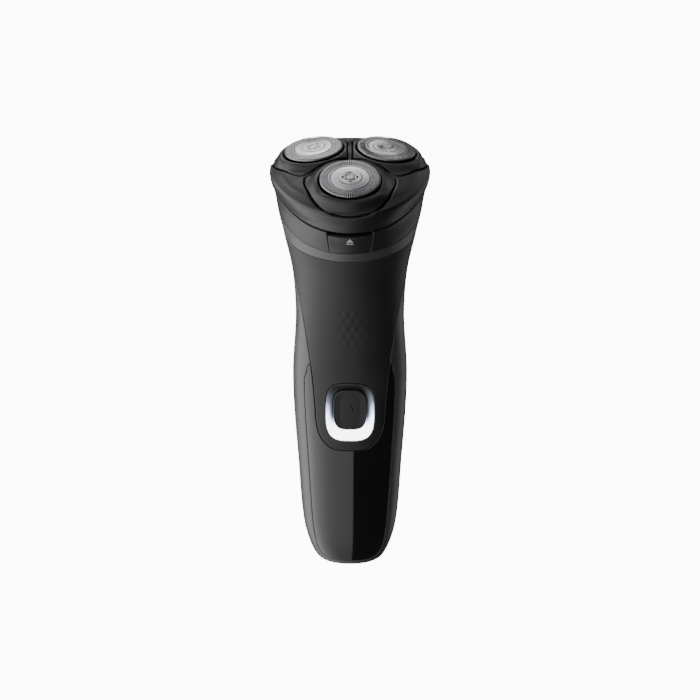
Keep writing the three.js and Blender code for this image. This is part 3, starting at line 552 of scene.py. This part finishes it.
SHIELD_FINISH = plastic("soft_touch_black", (.019, .019, .02), .52, grain=4600, height=.25, edge_lightening=.8,
                        specular=.42)
GREY_FINISH = plastic("graphite_grey", (.056, .0575, .060), .38, grain=3800, height=.16, edge_lightening=.45)
GLOSS_FINISH = plastic("piano_black", (.0045, .0045, .005), .06, grain=260, height=.012, mottle=.2, coat=.4)
SATIN_FINISH = plastic("satin_black", (.0135, .0135, .0142), .4, grain=4200, height=.2, edge_lightening=.9, pits=.05)
GUIDE_FINISH = light_guide("milky_guide")
STEEL_FINISH = turned_steel("turned_steel")
MARK_FINISH = plastic("pad_print_grey", (.42, .42, .44), .4, grain=6000, height=.05)
SLOT_FINISH = {
    "inner_dark": plastic("moulded_dark_grey", (.03, .031, .034), .55, grain=3000, height=.3),
    "acetal_white": plastic("acetal_white", (.72, .72, .68), .42, grain=2400, height=.1, mottle=.04),
    "seal_rubber": plastic("seal_rubber", (.011, .011, .011), .8, grain=2600, height=.5, sheen=.2),
    "cell_wrap": plastic("shrink_wrap", (.03, .12, .25), .22, grain=700, height=.08, mottle=.06, coat=.3),
    "board_green": plastic("solder_mask", (.01, .1, .04), .3, grain=1400, height=.12, mottle=.25),
    "light_guide": plastic("lens_white", (.7, .76, .8), .3, grain=1500, height=.05, mottle=.05),
    "plain_steel": metal("plated_steel", (.55, .56, .58), .3),
    # painted shade: the cutter steel is made near black because it sits in shade under the heads
    "cutter_steel": metal("shade_darkened_steel", (.1, .1, .105), .4, brush=(1, 1, 1), scale=1600),
}
# the pieces kept from the CAD model take their finish from their material slot
for subpart in frame["record"]["subparts"]:
    finish = SLOT_FINISH.get(subpart["material_slot"])
    if finish:
        kept = frame["nodes"][subpart["node"]]
        kept.data.materials.clear()
        kept.data.materials.append(finish)


def near_edge(f, width=.9):
    """How close to an edge a point is: 1 on it, 0 from a width inwards."""
    return np.clip(1 - f / width, 0, 1)**2


def with_extras(points, faces, f, *extras):
    """A shell with closed shapes added, and its nearness to an edge, 0 on what was added."""
    joined, tris = together((points, faces), *extras)
    return joined, tris, {"edge": np.concatenate([near_edge(f), np.zeros(len(joined) - len(points))])}


# ---------------------------------------------------------------- handle
SHIELD_LINE, PANEL_LINE = mirrored(SHIELD), mirrored(PANEL)
NECK_AXIS = np.array([0, -math.sin(LEAN), math.cos(LEAN)])


def under_neck(p):
    """Distance below the seam between handle and neck."""
    return -(p - (0, 0, HANDLE_L)) @ NECK_AXIS - NECK_SEAM


def in_shield(p):
    """Distance inside the shield's outline cut through the front half, with the corner
    between the two rounded."""
    return blended(inside_of(SHIELD_LINE, p[:, 0], p[:, 2]), -p[:, 1], 7)


def in_panel(p):
    """Distance inside the panel's outline cut through the front half."""
    return np.minimum(inside_of(PANEL_LINE, p[:, 0], p[:, 2]), -p[:, 1])


def ring_hole(p):
    """Distance inside the outer edge of the light ring."""
    return squircle(p[:, 0], p[:, 2], RING_HALF, RING_Z)


def groove(p):
    """Distance inside the groove between light ring and button."""
    return squircle(p[:, 0], p[:, 2], GROOVE_HALF, BUTTON_Z)


def housing_field(p):
    """Grey housing: outside both front covers and the charging socket."""
    covers = np.maximum(in_shield(p), in_panel(p))
    socket = np.where(p[:, 2] < 2, squircle(p[:, 0], p[:, 1], (5.3, 3.7), 6, 5), OUTSIDE)
    return np.minimum(np.minimum(-covers - COVER_SEAM, under_neck(p)), -socket)


def shield_field(p):
    """Soft-touch shield: inside its outline, outside the light ring."""
    hole = np.where(p[:, 1] < 0, ring_hole(p), OUTSIDE)
    return np.minimum(np.minimum(in_shield(p), under_neck(p)), -hole - RING_SEAM)


def panel_field(p):
    """Glossy panel: inside its outline, below the shield's edge."""
    return np.minimum(in_panel(p), -in_shield(p) - PANEL_SEAM)


def grip(p, f):
    """Shallow oblong dimples in a staggered field, fading out from its middle."""
    middle, across, up = 100.0, 3.4, 2.9
    x, z = p[:, 0], p[:, 2] - middle
    row = np.round(z / up)
    col = (x + (row % 2) * across / 2) / across
    dx, dz = np.abs(col - np.round(col)) * across, np.abs(z - row * up)
    cell = smooth((.95 - dx) / .4) * smooth((.95 - dz) / .4)
    return -.1 * cell * smooth(1.5 - np.hypot(x / 5.2, z / 7.5)) * (p[:, 1] < 0)


foot_rows = FOOT_ROUND * (1 - np.cos(np.linspace(0, math.pi / 2, 44)))
rows = np.concatenate([np.linspace(-FOOT_RUN, 0, 18)[:-1], foot_rows,
                       np.linspace(FOOT_ROUND, HANDLE_L + .6, 206)[1:]])
all_round = np.linspace(0, 2 * math.pi, 181)

points, faces, f, _ = skin(handle_point, housing_field, all_round, rows, roll=.3, normal_from=-11.5)
add_piece("housing_shell", points, faces, "handle", ["rear_housing"], GREY_FINISH,
          {"edge": near_edge(f)})

front = np.linspace(-math.pi, 0, 171)
points, faces, f, _ = skin(handle_point, shield_field, front, np.linspace(48, HANDLE_L + .6, 271), roll=.32,
                           relief=grip)
add_piece("soft_touch_shield", points, faces, "handle", ["front_shield"], SHIELD_FINISH,
          {"edge": near_edge(f)})

points, faces, f, _ = skin(handle_point, panel_field, front, np.concatenate(
    [foot_rows, np.linspace(FOOT_ROUND, 92, 161)[1:]]), roll=.3)
add_piece("gloss_panel", points, faces, "handle", ["front_panel"], GLOSS_FINISH,
          {"edge": near_edge(f)})


def ring_field(p):
    """Light ring: inside its outer edge, outside the button's groove."""
    return np.minimum(ring_hole(p), -groove(p))


def ring_slope(p, f):
    """The ring falls inwards from its outer edge to the button's groove."""
    out = ring_hole(p).clip(0)
    inner = -groove(p).clip(None, 0)
    return -smooth(out / (out + inner + 1e-6))


points, faces, _, skin_at = skin(front_point, ring_field, np.linspace(-9.4, 9.4, 116),
                                 np.linspace(55, 79.6, 150), thick=2.6, roll=.22, relief=ring_slope)
# the glow is full at the ring's foot and fades with height, first on the button's side
height = np.concatenate([skin_at[:, 2]] * 2)
outward = np.concatenate([ring_hole(skin_at)] * 2)
share = np.clip(outward / 2.2, 0, 1)
glow = smooth((77.5 - height) / 17) * (1 - smooth((share - .25) / .9) * smooth((height - 60) / 7))
add_piece("light_guide_ring", points, faces, "handle", ["light_ring"], GUIDE_FINISH,
          {"glow": glow})


def button_face(p, f):
    """A fine raised rim, a dished face, and a crescent pressed into it: the part of one
    circle outside another."""
    ridge = .16 * smooth(f / .25) * (1 - smooth((f - .55) / .3))
    dish = -.28 * smooth((f - .6) / 2.2)
    x, z = p[:, 0] - .1, p[:, 2] - BUTTON_Z
    moon_r = 1.75
    moon = np.minimum(moon_r - np.hypot(x, z), np.hypot(x + .75, z) - moon_r)
    return ridge + dish - .22 * smooth((moon + .02) / .14)


points, faces, f, _ = skin(front_point, lambda p: squircle(p[:, 0], p[:, 2], BUTTON_HALF, BUTTON_Z),
                           np.linspace(-6.5, 6.5, 120), np.linspace(60, 76.4, 150), thick=2.4, roll=.3,
                           relief=button_face)
add_piece("power_button_cap", points, faces, "power_button", ["power_button"], SHIELD_FINISH,
          {"edge": near_edge(f, .7)})


# ---------------------------------------------------------------- neck
def front_dip(p):
    """How far the line where the unit closes on the collar dips towards the front."""
    return 1.1 * smooth(-p[:, 1] / 30)


def over_slant(p):
    """Height over the slanted edge of the accent strip."""
    return (p[:, 2] + STRIP_W - STRIP_SLOPE * p[:, 1]) * math.cos(math.atan(STRIP_SLOPE))


TAB_LINE = np.array([(-7.2, -10.2), (7.2, -10.2), (7.8, -2.4), (-7.8, -2.4)])
TAB_ROOM = np.array([(-7.2, -10.3), (7.2, -10.3), (8.45, 2.5), (-8.45, 2.5)])


def tab_field(line, p):
    """Distance inside an outline for the release tab, on the front half only."""
    return np.where(p[:, 1] < 0, inside_of(line, p[:, 0], p[:, 2]), OUTSIDE)


def strip_field(p):
    """Accent strip: over the handle's seam, under the slanted edge."""
    return np.minimum(p[:, 2] + NECK_H - NECK_SEAM, -over_slant(p) - STRIP_SEAM)


def collar_field(p):
    """Collar: over the strip, under the closing plane, clear of the release tab."""
    closes = np.minimum(over_slant(p) - STRIP_SEAM, -.05 - front_dip(p) - p[:, 2])
    return np.minimum(closes, -tab_field(TAB_ROOM, p) - TAB_SEAM)


HINGE_Y, HINGE_W = 27.05, 0.3


def knuckle(x0, x1):
    """A hinge knuckle: a barrel with rounded rims, lying along X."""
    r, e, bevel = 1.55, .25, .07
    p, tris = turned([(0, x0), (r - e, x0), (r - bevel, x0 + bevel), (r, x0 + e), (r, x1 - e),
                      (r - bevel, x1 - bevel), (r - e, x1), (0, x1)], 40)
    return np.stack([p[:, 2], p[:, 0] + HINGE_Y, p[:, 1] + HINGE_W], 1), tris


ring_u = np.linspace(0, 2 * math.pi, 361)
points, faces, f, _ = skin(neck_point, strip_field, ring_u, np.linspace(-NECK_H - .3, -3.5, 42), roll=.28)
add_piece("accent_band", lean(points), faces, "handle", ["accent_strip"], GREY_FINISH,
          {"edge": near_edge(f)})

points, faces, f, _ = skin(neck_point, collar_field, ring_u, np.linspace(-11, .4, 46), roll=.22)
points, faces, edge = with_extras(points, faces, f, knuckle(-7.2, -3.5), knuckle(3.5, 7.2),
                                  block((-7.15, 24.2, -1.2), (-3.55, 27.2, -.1)),
                                  block((3.55, 24.2, -1.2), (7.15, 27.2, -.1)))
add_piece("neck_collar", lean(points), faces, "handle", ["collar"], SATIN_FINISH, edge)


def tab_face(p, f):
    """A shallow finger dish in the tab, deepest under its top edge."""
    return -.22 * smooth((f - .3) / 2.5) * smooth((p[:, 2] + 9) / 6)


FRONT = -math.pi / 2
points, faces, f, _ = skin(neck_point, lambda p: tab_field(TAB_LINE, p),
                           np.linspace(FRONT - .36, FRONT + .36, 131), np.linspace(-10.4, -1.9, 90),
                           thick=1.5, roll=.2, relief=tab_face)
points, faces, edge = with_extras(points, faces, f, block((-3, -25.2, -5), (3, -21.6, -2.5)),
                                  block((-3, -22.8, -5), (3, -21.6, 2.8)),
                                  block((-3, -23.1, 2), (3, -21.6, 2.8)))
add_piece("release_tab", lean(points), faces, "release_button", ["release_button"], SATIN_FINISH,
          edge)


def mark_field(p):
    """Release mark: a triangle over a bar."""
    half = 1.25
    triangle = inside_of(np.array([(-half, -4.35), (half, -4.35), (0, -2.85)]), p[:, 0], p[:, 2])
    bar = inside_of(np.array([(-half, -5.3), (half, -5.3), (half, -4.9), (-half, -4.9)]), p[:, 0], p[:, 2])
    return np.maximum(triangle, bar)


points, faces, f, _ = skin(neck_point, mark_field, np.linspace(FRONT - .07, FRONT + .07, 61),
                           np.linspace(-5.6, -2.5, 60), thick=-.02, roll=.05, relief=lambda p, f: f * 0 + .14)
add_piece("release_arrow", lean(points), faces, "release_button", ["release_mark"], MARK_FINISH)


# ---------------------------------------------------------------- shaving unit
CAP_REACH = CAP_R + 3.9
PETAL_LOW = WIDE_W + 0.05
BORE_R = CAP_R + 0.45


def petal_line(lobe):
    """A petal's outline in plan: two arms out from the middle, a corner bent as a
    quadratic curve, then an arc round the shaving head that swells outwards with the
    fourth power of the cosine."""
    c, s, room = .5, math.sqrt(3) / 2, 1.0
    arm = lambda r: np.array((r * c + room * s, r * s - room * c))
    t = np.radians(np.linspace(-75, 75, 61))
    reach = CAP_REACH * (1 + .1 * np.cos(t)**4)
    arc = np.stack([CAP_PITCH + reach * np.cos(t), reach * np.sin(t)], 1)
    q = np.linspace(0, 1, 12)[1:-1, None]
    end = arm(17.9)
    corner = (1 - q)**2 * arc[-1] + 2 * q * (1 - q) * arm(20.3) + q**2 * end
    flip = np.array((1, -1))
    line = np.concatenate([[(room / s, 0)], [end * flip], corner[::-1] * flip, arc, corner, [end]])
    a = math.radians(LOBES_AT[lobe])
    return line @ np.array([(math.cos(a), math.sin(a)), (-math.sin(a), math.cos(a))])


PETAL_LINES = {lobe: petal_line(lobe) for lobe in LOBES_AT}


def from_cap_axis(lobe, p):
    """Distance from the axis of a shaving head."""
    turn, at = seat(lobe)
    local = (p - at) @ turn
    return np.hypot(local[:, 0], local[:, 1])


def petal_room(lobe, p, grown=0.0):
    """Distance inside a petal's room: the lesser of the distance inside its plan outline
    and the height over its lower line, blended where the two are alike."""
    plan = inside_of(PETAL_LINES[lobe], p[:, 0], p[:, 1]) + grown
    over = p[:, 2] - PETAL_LOW + grown
    return blended(plan, over, 2.6)


def petal_field(lobe):
    """Petal: inside its room, outside the shaving head's bore."""
    return lambda p: np.minimum(petal_room(lobe, p), from_cap_axis(lobe, p) - BORE_R)


def petal_tuck(p, f):
    """The petal's side sits a little inside the frame's shoulder."""
    return shoulder(p) - .22 * smooth((11 - p[:, 2]) / 3)


def frame_field(p):
    """Frame: the shell outside every petal's room, which starts at the ledge's height."""
    rooms = np.stack([petal_room(lobe, p, PETAL_SEAM) for lobe in LOBES_AT])
    return np.minimum(-rooms.max(0), p[:, 2] - .6 + front_dip(p))


def web(deg):
    """The rib between two petals: a round-topped bar carried out from the middle, its
    top a little under the crown."""
    a = math.radians(deg)
    t = np.linspace(.0, 21.4, 60)
    x, y = t * math.cos(a), t * math.sin(a)
    top = crown(x, y) - .35 - 1.2 * smooth((t - 17.5) / 3.9)
    half, deep = .5, -2.6
    side = np.array([(-half, deep), (half, deep), (half, -.35), (.35, -.1), (0, 0), (-.35, -.1),
                     (-half, -.35), (-half, deep)])
    p = np.stack([x[:, None] - side[:, 0] * math.sin(a), y[:, None] + side[:, 0] * math.cos(a),
                  top[:, None] + side[:, 1]], -1)
    ends = np.broadcast_to(p.mean(1, keepdims=True), p.shape)
    p = np.concatenate([ends[:1], p, ends[-1:]])
    _, tris = grid(np.arange(len(p)), np.arange(len(side)))
    first, tris = weld(p.reshape(-1, 3), tris)
    return p.reshape(-1, 3)[first], tris[:, ::-1]


crown_u = np.linspace(0, 2 * math.pi, 481)
crown_v = np.concatenate([np.linspace(-7.3, 0, 20)[:-1], np.linspace(0, CROWN_L, 86)])
points, faces, f, _ = skin(unit_point, frame_field, crown_u, crown_v, thick=1.6, roll=.6, normal_from=-9,
                           relief=lambda p, f: shoulder(p))
points, faces, edge = with_extras(points, faces, f, *[web(deg + 60) for deg in LOBES_AT.values()],
                                  knuckle(-3.15, 3.15), block((-3.1, 23.6, .62), (3.1, 27.2, 1.8)),
                                  block((-3, -27.5, .9), (3, -23.5, 1.7)))
add_piece("shaving_frame", lean(points), faces, "shaving_unit", ["head_frame"], SATIN_FINISH,
          edge)

petal_v = crown_v[14:]
for lobe, deg in LOBES_AT.items():
    a = math.radians(deg)
    span = np.linspace(a - 1.12, a + 1.12, 191)
    points, faces, f, _ = skin(unit_point, petal_field(lobe), span, petal_v, thick=1.5, roll=.45,
                               relief=petal_tuck, normal_from=-9)
    add_piece("petal_shell_" + lobe, lean(points), faces, "petal_" + lobe, ["petal_" + lobe], SATIN_FINISH,
              {"edge": near_edge(f)})

# ---------------------------------------------------------------- shaving heads
TEETH = 90
COLUMNS = 6                      # of the grid to a tooth and its slot, half of them the slot
RIM_ROUND = 0.55
TRACK_EDGE = CAP_R - RIM_ROUND


def band(r, start, end, rise, fall=None):
    """1 from one radius to another: a soft step up over rise, and one down over fall."""
    return smooth((r - start) / rise) * (1 - smooth((r - end) / (fall or rise)))


def guard_height(r):
    """Height of a shaving head's face over its radius: a small ringed hub, a polished
    disc, a step down to a valley, the track with one fine groove, and a rounded rim."""
    corner = np.clip(r - TRACK_EDGE, 0, RIM_ROUND)
    return (.16 - .22 * band(r, 1.3, 1.6, .08) + .16 * (1 - smooth((r - 4.05) / .3))
            - .1 * smooth((r - 5.2) / 1.2) - .3 * band(r, 6.7, 7.0, .2) - .1 * smooth((r - 7.0) / .4)
            - (RIM_ROUND - np.sqrt(np.maximum(RIM_ROUND**2 - corner**2, 0))))


def guard_profile():
    """Radii and heights from the middle of a shaving head's face, over its rim and down
    its side to the flange."""
    radii = np.unique(np.round(np.concatenate([
        np.linspace(0, 1.0, 4), np.linspace(1.1, 1.6, 8), [1.62, 1.7, 1.8, 1.9, 2.1, 2.2, 2.5, 2.85],
        [3.2, 3.7], np.linspace(4.05, 4.35, 5), [4.8, 5.2, 5.8, 6.4], np.linspace(6.7, 7.4, 12), [7.7, 8.05],
        np.linspace(8.3, TRACK_EDGE, 5),
        TRACK_EDGE + RIM_ROUND * np.sin(np.linspace(0, math.pi / 2, 6))]), 4))
    side = [(CAP_R, -.8), (CAP_R, -1.2), (CAP_R, -1.7), (CAP_R, -2.35), (10.76, -2.45), (11.6, -2.5),
            (11.7, -2.6)]
    return np.concatenate([np.stack([radii, guard_height(radii)], 1), side])


def guard_shade(r, z, column):
    """Painted shade on the steel, how dark it is made: in the grooves, under the rim, and beside the slots.
    """
    return (.6 * band(r, 6.65, 7.1, .2) + .25 * band(r, 4.0, 4.35, .1, .15) + .8 * band(r, 1.28, 1.6, .06)
            + np.where(r > 10, smooth((-z - .62) / .12), 0)
            + .7 * (column % (COLUMNS // 2) == 0) * smooth((r - 7.6) / .2) + .25 * band(r, 7.0, 8.0, .2))


def guard():
    """A slotted shaving head: its face is a height over angle and radius, its side goes
    down to a flange, and the cells of the slots and hub windows are left out before
    the sheet gets its thickness."""
    profile = guard_profile()
    a = np.linspace(0, 2 * math.pi, TEETH * COLUMNS + 1)
    uv, _ = grid(a, np.arange(len(profile)))
    r, z = profile[uv[:, 1].astype(int)].T
    p = np.stack([r * np.cos(uv[:, 0]), r * np.sin(uv[:, 0]), z], 1)
    i = np.arange(len(uv)).reshape(len(a), -1)
    quads = np.stack([i[:-1, :-1], i[:-1, 1:], i[1:, 1:], i[1:, :-1]], -1).reshape(-1, 4)[:, ::-1]
    mid_a, mid_r, mid_z = uv[quads, 0].mean(1), r[quads].mean(1), z[quads].mean(1)
    slot = ((mid_a / (2 * math.pi) * TEETH) % 1 < .5) & (mid_r > 7.72) & (mid_z > -1.2)
    quarter = np.abs((mid_a / (math.pi / 2)) % 1 - .5)
    window = (quarter > .35) & (mid_r > 2.2) & (mid_r < 2.85)
    arc = (quarter < .24) & (mid_r > 1.9) & (mid_r < 2.2)
    quads = quads[~(slot | window | arc)]
    first, tris = weld(p, np.concatenate([quads[:, :3], quads[:, [0, 2, 3]]]))
    uv, r, z, p = uv[first], r[first], z[first], p[first]
    narrower = (r - .38 * smooth((r - 9.9) / .6)) / np.maximum(r, 1e-9)
    thick = .4 * (1 - .7 * smooth((r - 10) / .7) * (z > -2.3))
    under = np.stack([narrower * p[:, 0], narrower * p[:, 1], z - thick], 1)
    run = travelled(profile)[uv[:, 1].astype(int)]
    own = np.stack([uv[:, 0] / (2 * math.pi) * 12, run / 12], 1)
    # painted shade: the face is darkened in its grooves, under the rim and beside the slots, and the whole
    # underside is painted near black (.9) as shade
    dark = guard_shade(r, z, np.round(uv[:, 0] / (2 * math.pi) * TEETH * COLUMNS).astype(int))
    return (np.concatenate([p, under]), walled(tris, len(p)), np.concatenate([own, own]),
            np.concatenate([dark, np.full(len(dark), .9)]))


guard_points, guard_faces, guard_uv, guard_painted_shade = guard()
for lobe in LOBES_AT:
    turn, at = seat(lobe)
    add_piece("shaving_guard_" + lobe, lean(guard_points @ turn.T + at), guard_faces, "shaving_head_" + lobe,
              ["shaving_head_" + lobe], STEEL_FINISH, {"shade": guard_painted_shade}, uv=guard_uv)


# ---------------------------------------------------------------- stage, lights, camera
CENTRE = np.array([0, 0, .09])   # middle of the shaver, in metres


def staged(name, points, faces, material, unseen):
    """A piece of the studio, in metres. unseen names the kinds of ray that pass it by."""
    mesh = bpy.data.meshes.new(name)
    mesh.from_pydata(points, [], faces)
    mesh.materials.append(material)
    made = bpy.data.objects.new(name, mesh)
    bpy.context.scene.collection.objects.link(made)
    for ray in unseen:
        setattr(made, "visible_" + ray, False)
    return mesh


def paper(name, colour, glow):
    """Seamless paper: pale, faintly mottled, and lifted to white by a little glow."""
    material, tree, shader = blank(name)
    at = node(tree, "ShaderNodeTexCoord").outputs["Object"]
    fibre = node(tree, "ShaderNodeTexNoise", [("Vector", at)], Scale=300.0, Detail=4.0)
    tone = node(tree, "ShaderNodeVectorMath", [("Scale", spread(tree, fibre.outputs["Fac"], .985, 1.0))],
                operation="SCALE")
    tone.inputs[0].default_value = (colour,) * 3
    tree.links.new(tone.outputs["Vector"], shader.inputs["Base Color"])
    shader.inputs["Roughness"].default_value = .9
    shader.inputs["Specular IOR Level"].default_value = .0
    shader.inputs["Emission Color"].default_value = (1, 1, 1, 1)
    shader.inputs["Emission Strength"].default_value = glow
    return material


staged("studio_floor", [(x, y, -.0002) for x, y in ((-6, -6), (6, -6), (6, 6), (-6, 6))], [(0, 1, 2, 3)],
       paper("floor_paper", .8, 11.0), ("glossy", "diffuse", "shadow"))

world = bpy.data.worlds.new("studio")
bpy.context.scene.world = world
world.use_nodes = True
world.node_tree.nodes["Background"].inputs["Color"].default_value = (1, 1, 1, 1)
world.node_tree.nodes["Background"].inputs["Strength"].default_value = .05


def dome(name, radius, material):
    """A staged sphere round the set, facing inwards."""
    uv, tris = grid(np.linspace(0, 2 * math.pi, 49), np.linspace(-math.pi / 2, math.pi / 2, 25))
    c = np.cos(uv[:, 1]) * radius
    p = np.stack([c * np.cos(uv[:, 0]), c * np.sin(uv[:, 0]), radius * np.sin(uv[:, 1])], 1)
    first, tris = weld(p, tris)
    staged(name, p[first], tris[:, ::-1].tolist(), material, ("diffuse", "glossy", "transmission", "shadow"))


dome("studio_backdrop", 9.0, paper("backdrop_paper", .0, 12.0))


def softbox(name, direction, distance, width, height, strength):
    """An area light facing the shaver, from a direction given as azimuth and elevation in
    degrees: azimuth 0 is the front, 90 the right."""
    a, e = (math.radians(q) for q in direction)
    back = np.array([math.sin(a) * math.cos(e), -math.cos(a) * math.cos(e), math.sin(e)])
    light = bpy.data.lights.new(name, "AREA")
    light.shape, light.size, light.size_y = "RECTANGLE", width, height
    light.energy = strength * width * height * math.pi
    made = bpy.data.objects.new(name, light)
    bpy.context.scene.collection.objects.link(made)
    made.location = Vector(CENTRE + back * distance)
    made.rotation_euler = Vector(-back).to_track_quat("-Z", "Y").to_euler()
    made.visible_camera = False


def tent(name, azimuths, heights, radius, stations):
    """A lit cloth curved round the set: part of a sphere between two azimuths and two
    elevations, in degrees, whose brightness over the azimuth passes through stations
    and drops by a third low down."""
    uv, tris = grid(np.linspace(*azimuths, 60), np.linspace(*heights, 50))
    a, e = np.radians(uv).T
    p = np.stack([np.sin(a) * np.cos(e), -np.cos(a) * np.cos(e), np.sin(e)], 1) * radius + CENTRE
    material = bpy.data.materials.new(name)
    material.use_nodes = True
    tree = material.node_tree
    tree.nodes.clear()
    stored = node(tree, "ShaderNodeAttribute", attribute_name="power").outputs["Fac"]
    lit = node(tree, "ShaderNodeEmission", [("Strength", stored)])
    node(tree, "ShaderNodeOutputMaterial", [("Surface", lit.outputs[0])])
    mesh = staged(name, p, tris[:, ::-1].tolist(), material, ("camera", "shadow"))
    power = through(stations, uv[:, 0]) * (.62 + .38 * smooth((uv[:, 1] + 62) / 34))
    mesh.attributes.new("power", "FLOAT", "POINT").data.foreach_set("value", power.astype(np.float32))


tent("light_tent_left", (-128, 3), (-82, 48), .9,
     [(-128, 2.6), (-92, 2.9), (-62, 2.1), (-32, 1.35), (3, 1.02)])
softbox("softbox_back_left", (-166, 50), .8, .4, .3, 2.6)
softbox("softbox_back_top", (172, 54), .85, 1.5, .8, .3)
softbox("softbox_overhead", (25, 72), 1.0, 1.3, .8, .45)
softbox("fill_back_right", (128, 2), .9, .5, 1.6, .6)

camera = bpy.data.cameras.new("studio_camera")
camera.lens, camera.sensor_width = 62.86, 36
view = bpy.data.objects.new("studio_camera", camera)
bpy.context.scene.collection.objects.link(view)
view.location = (0, -.44231, .24038)
view.rotation_euler = (math.radians(70.68), 0, 0)
bpy.context.scene.camera = view
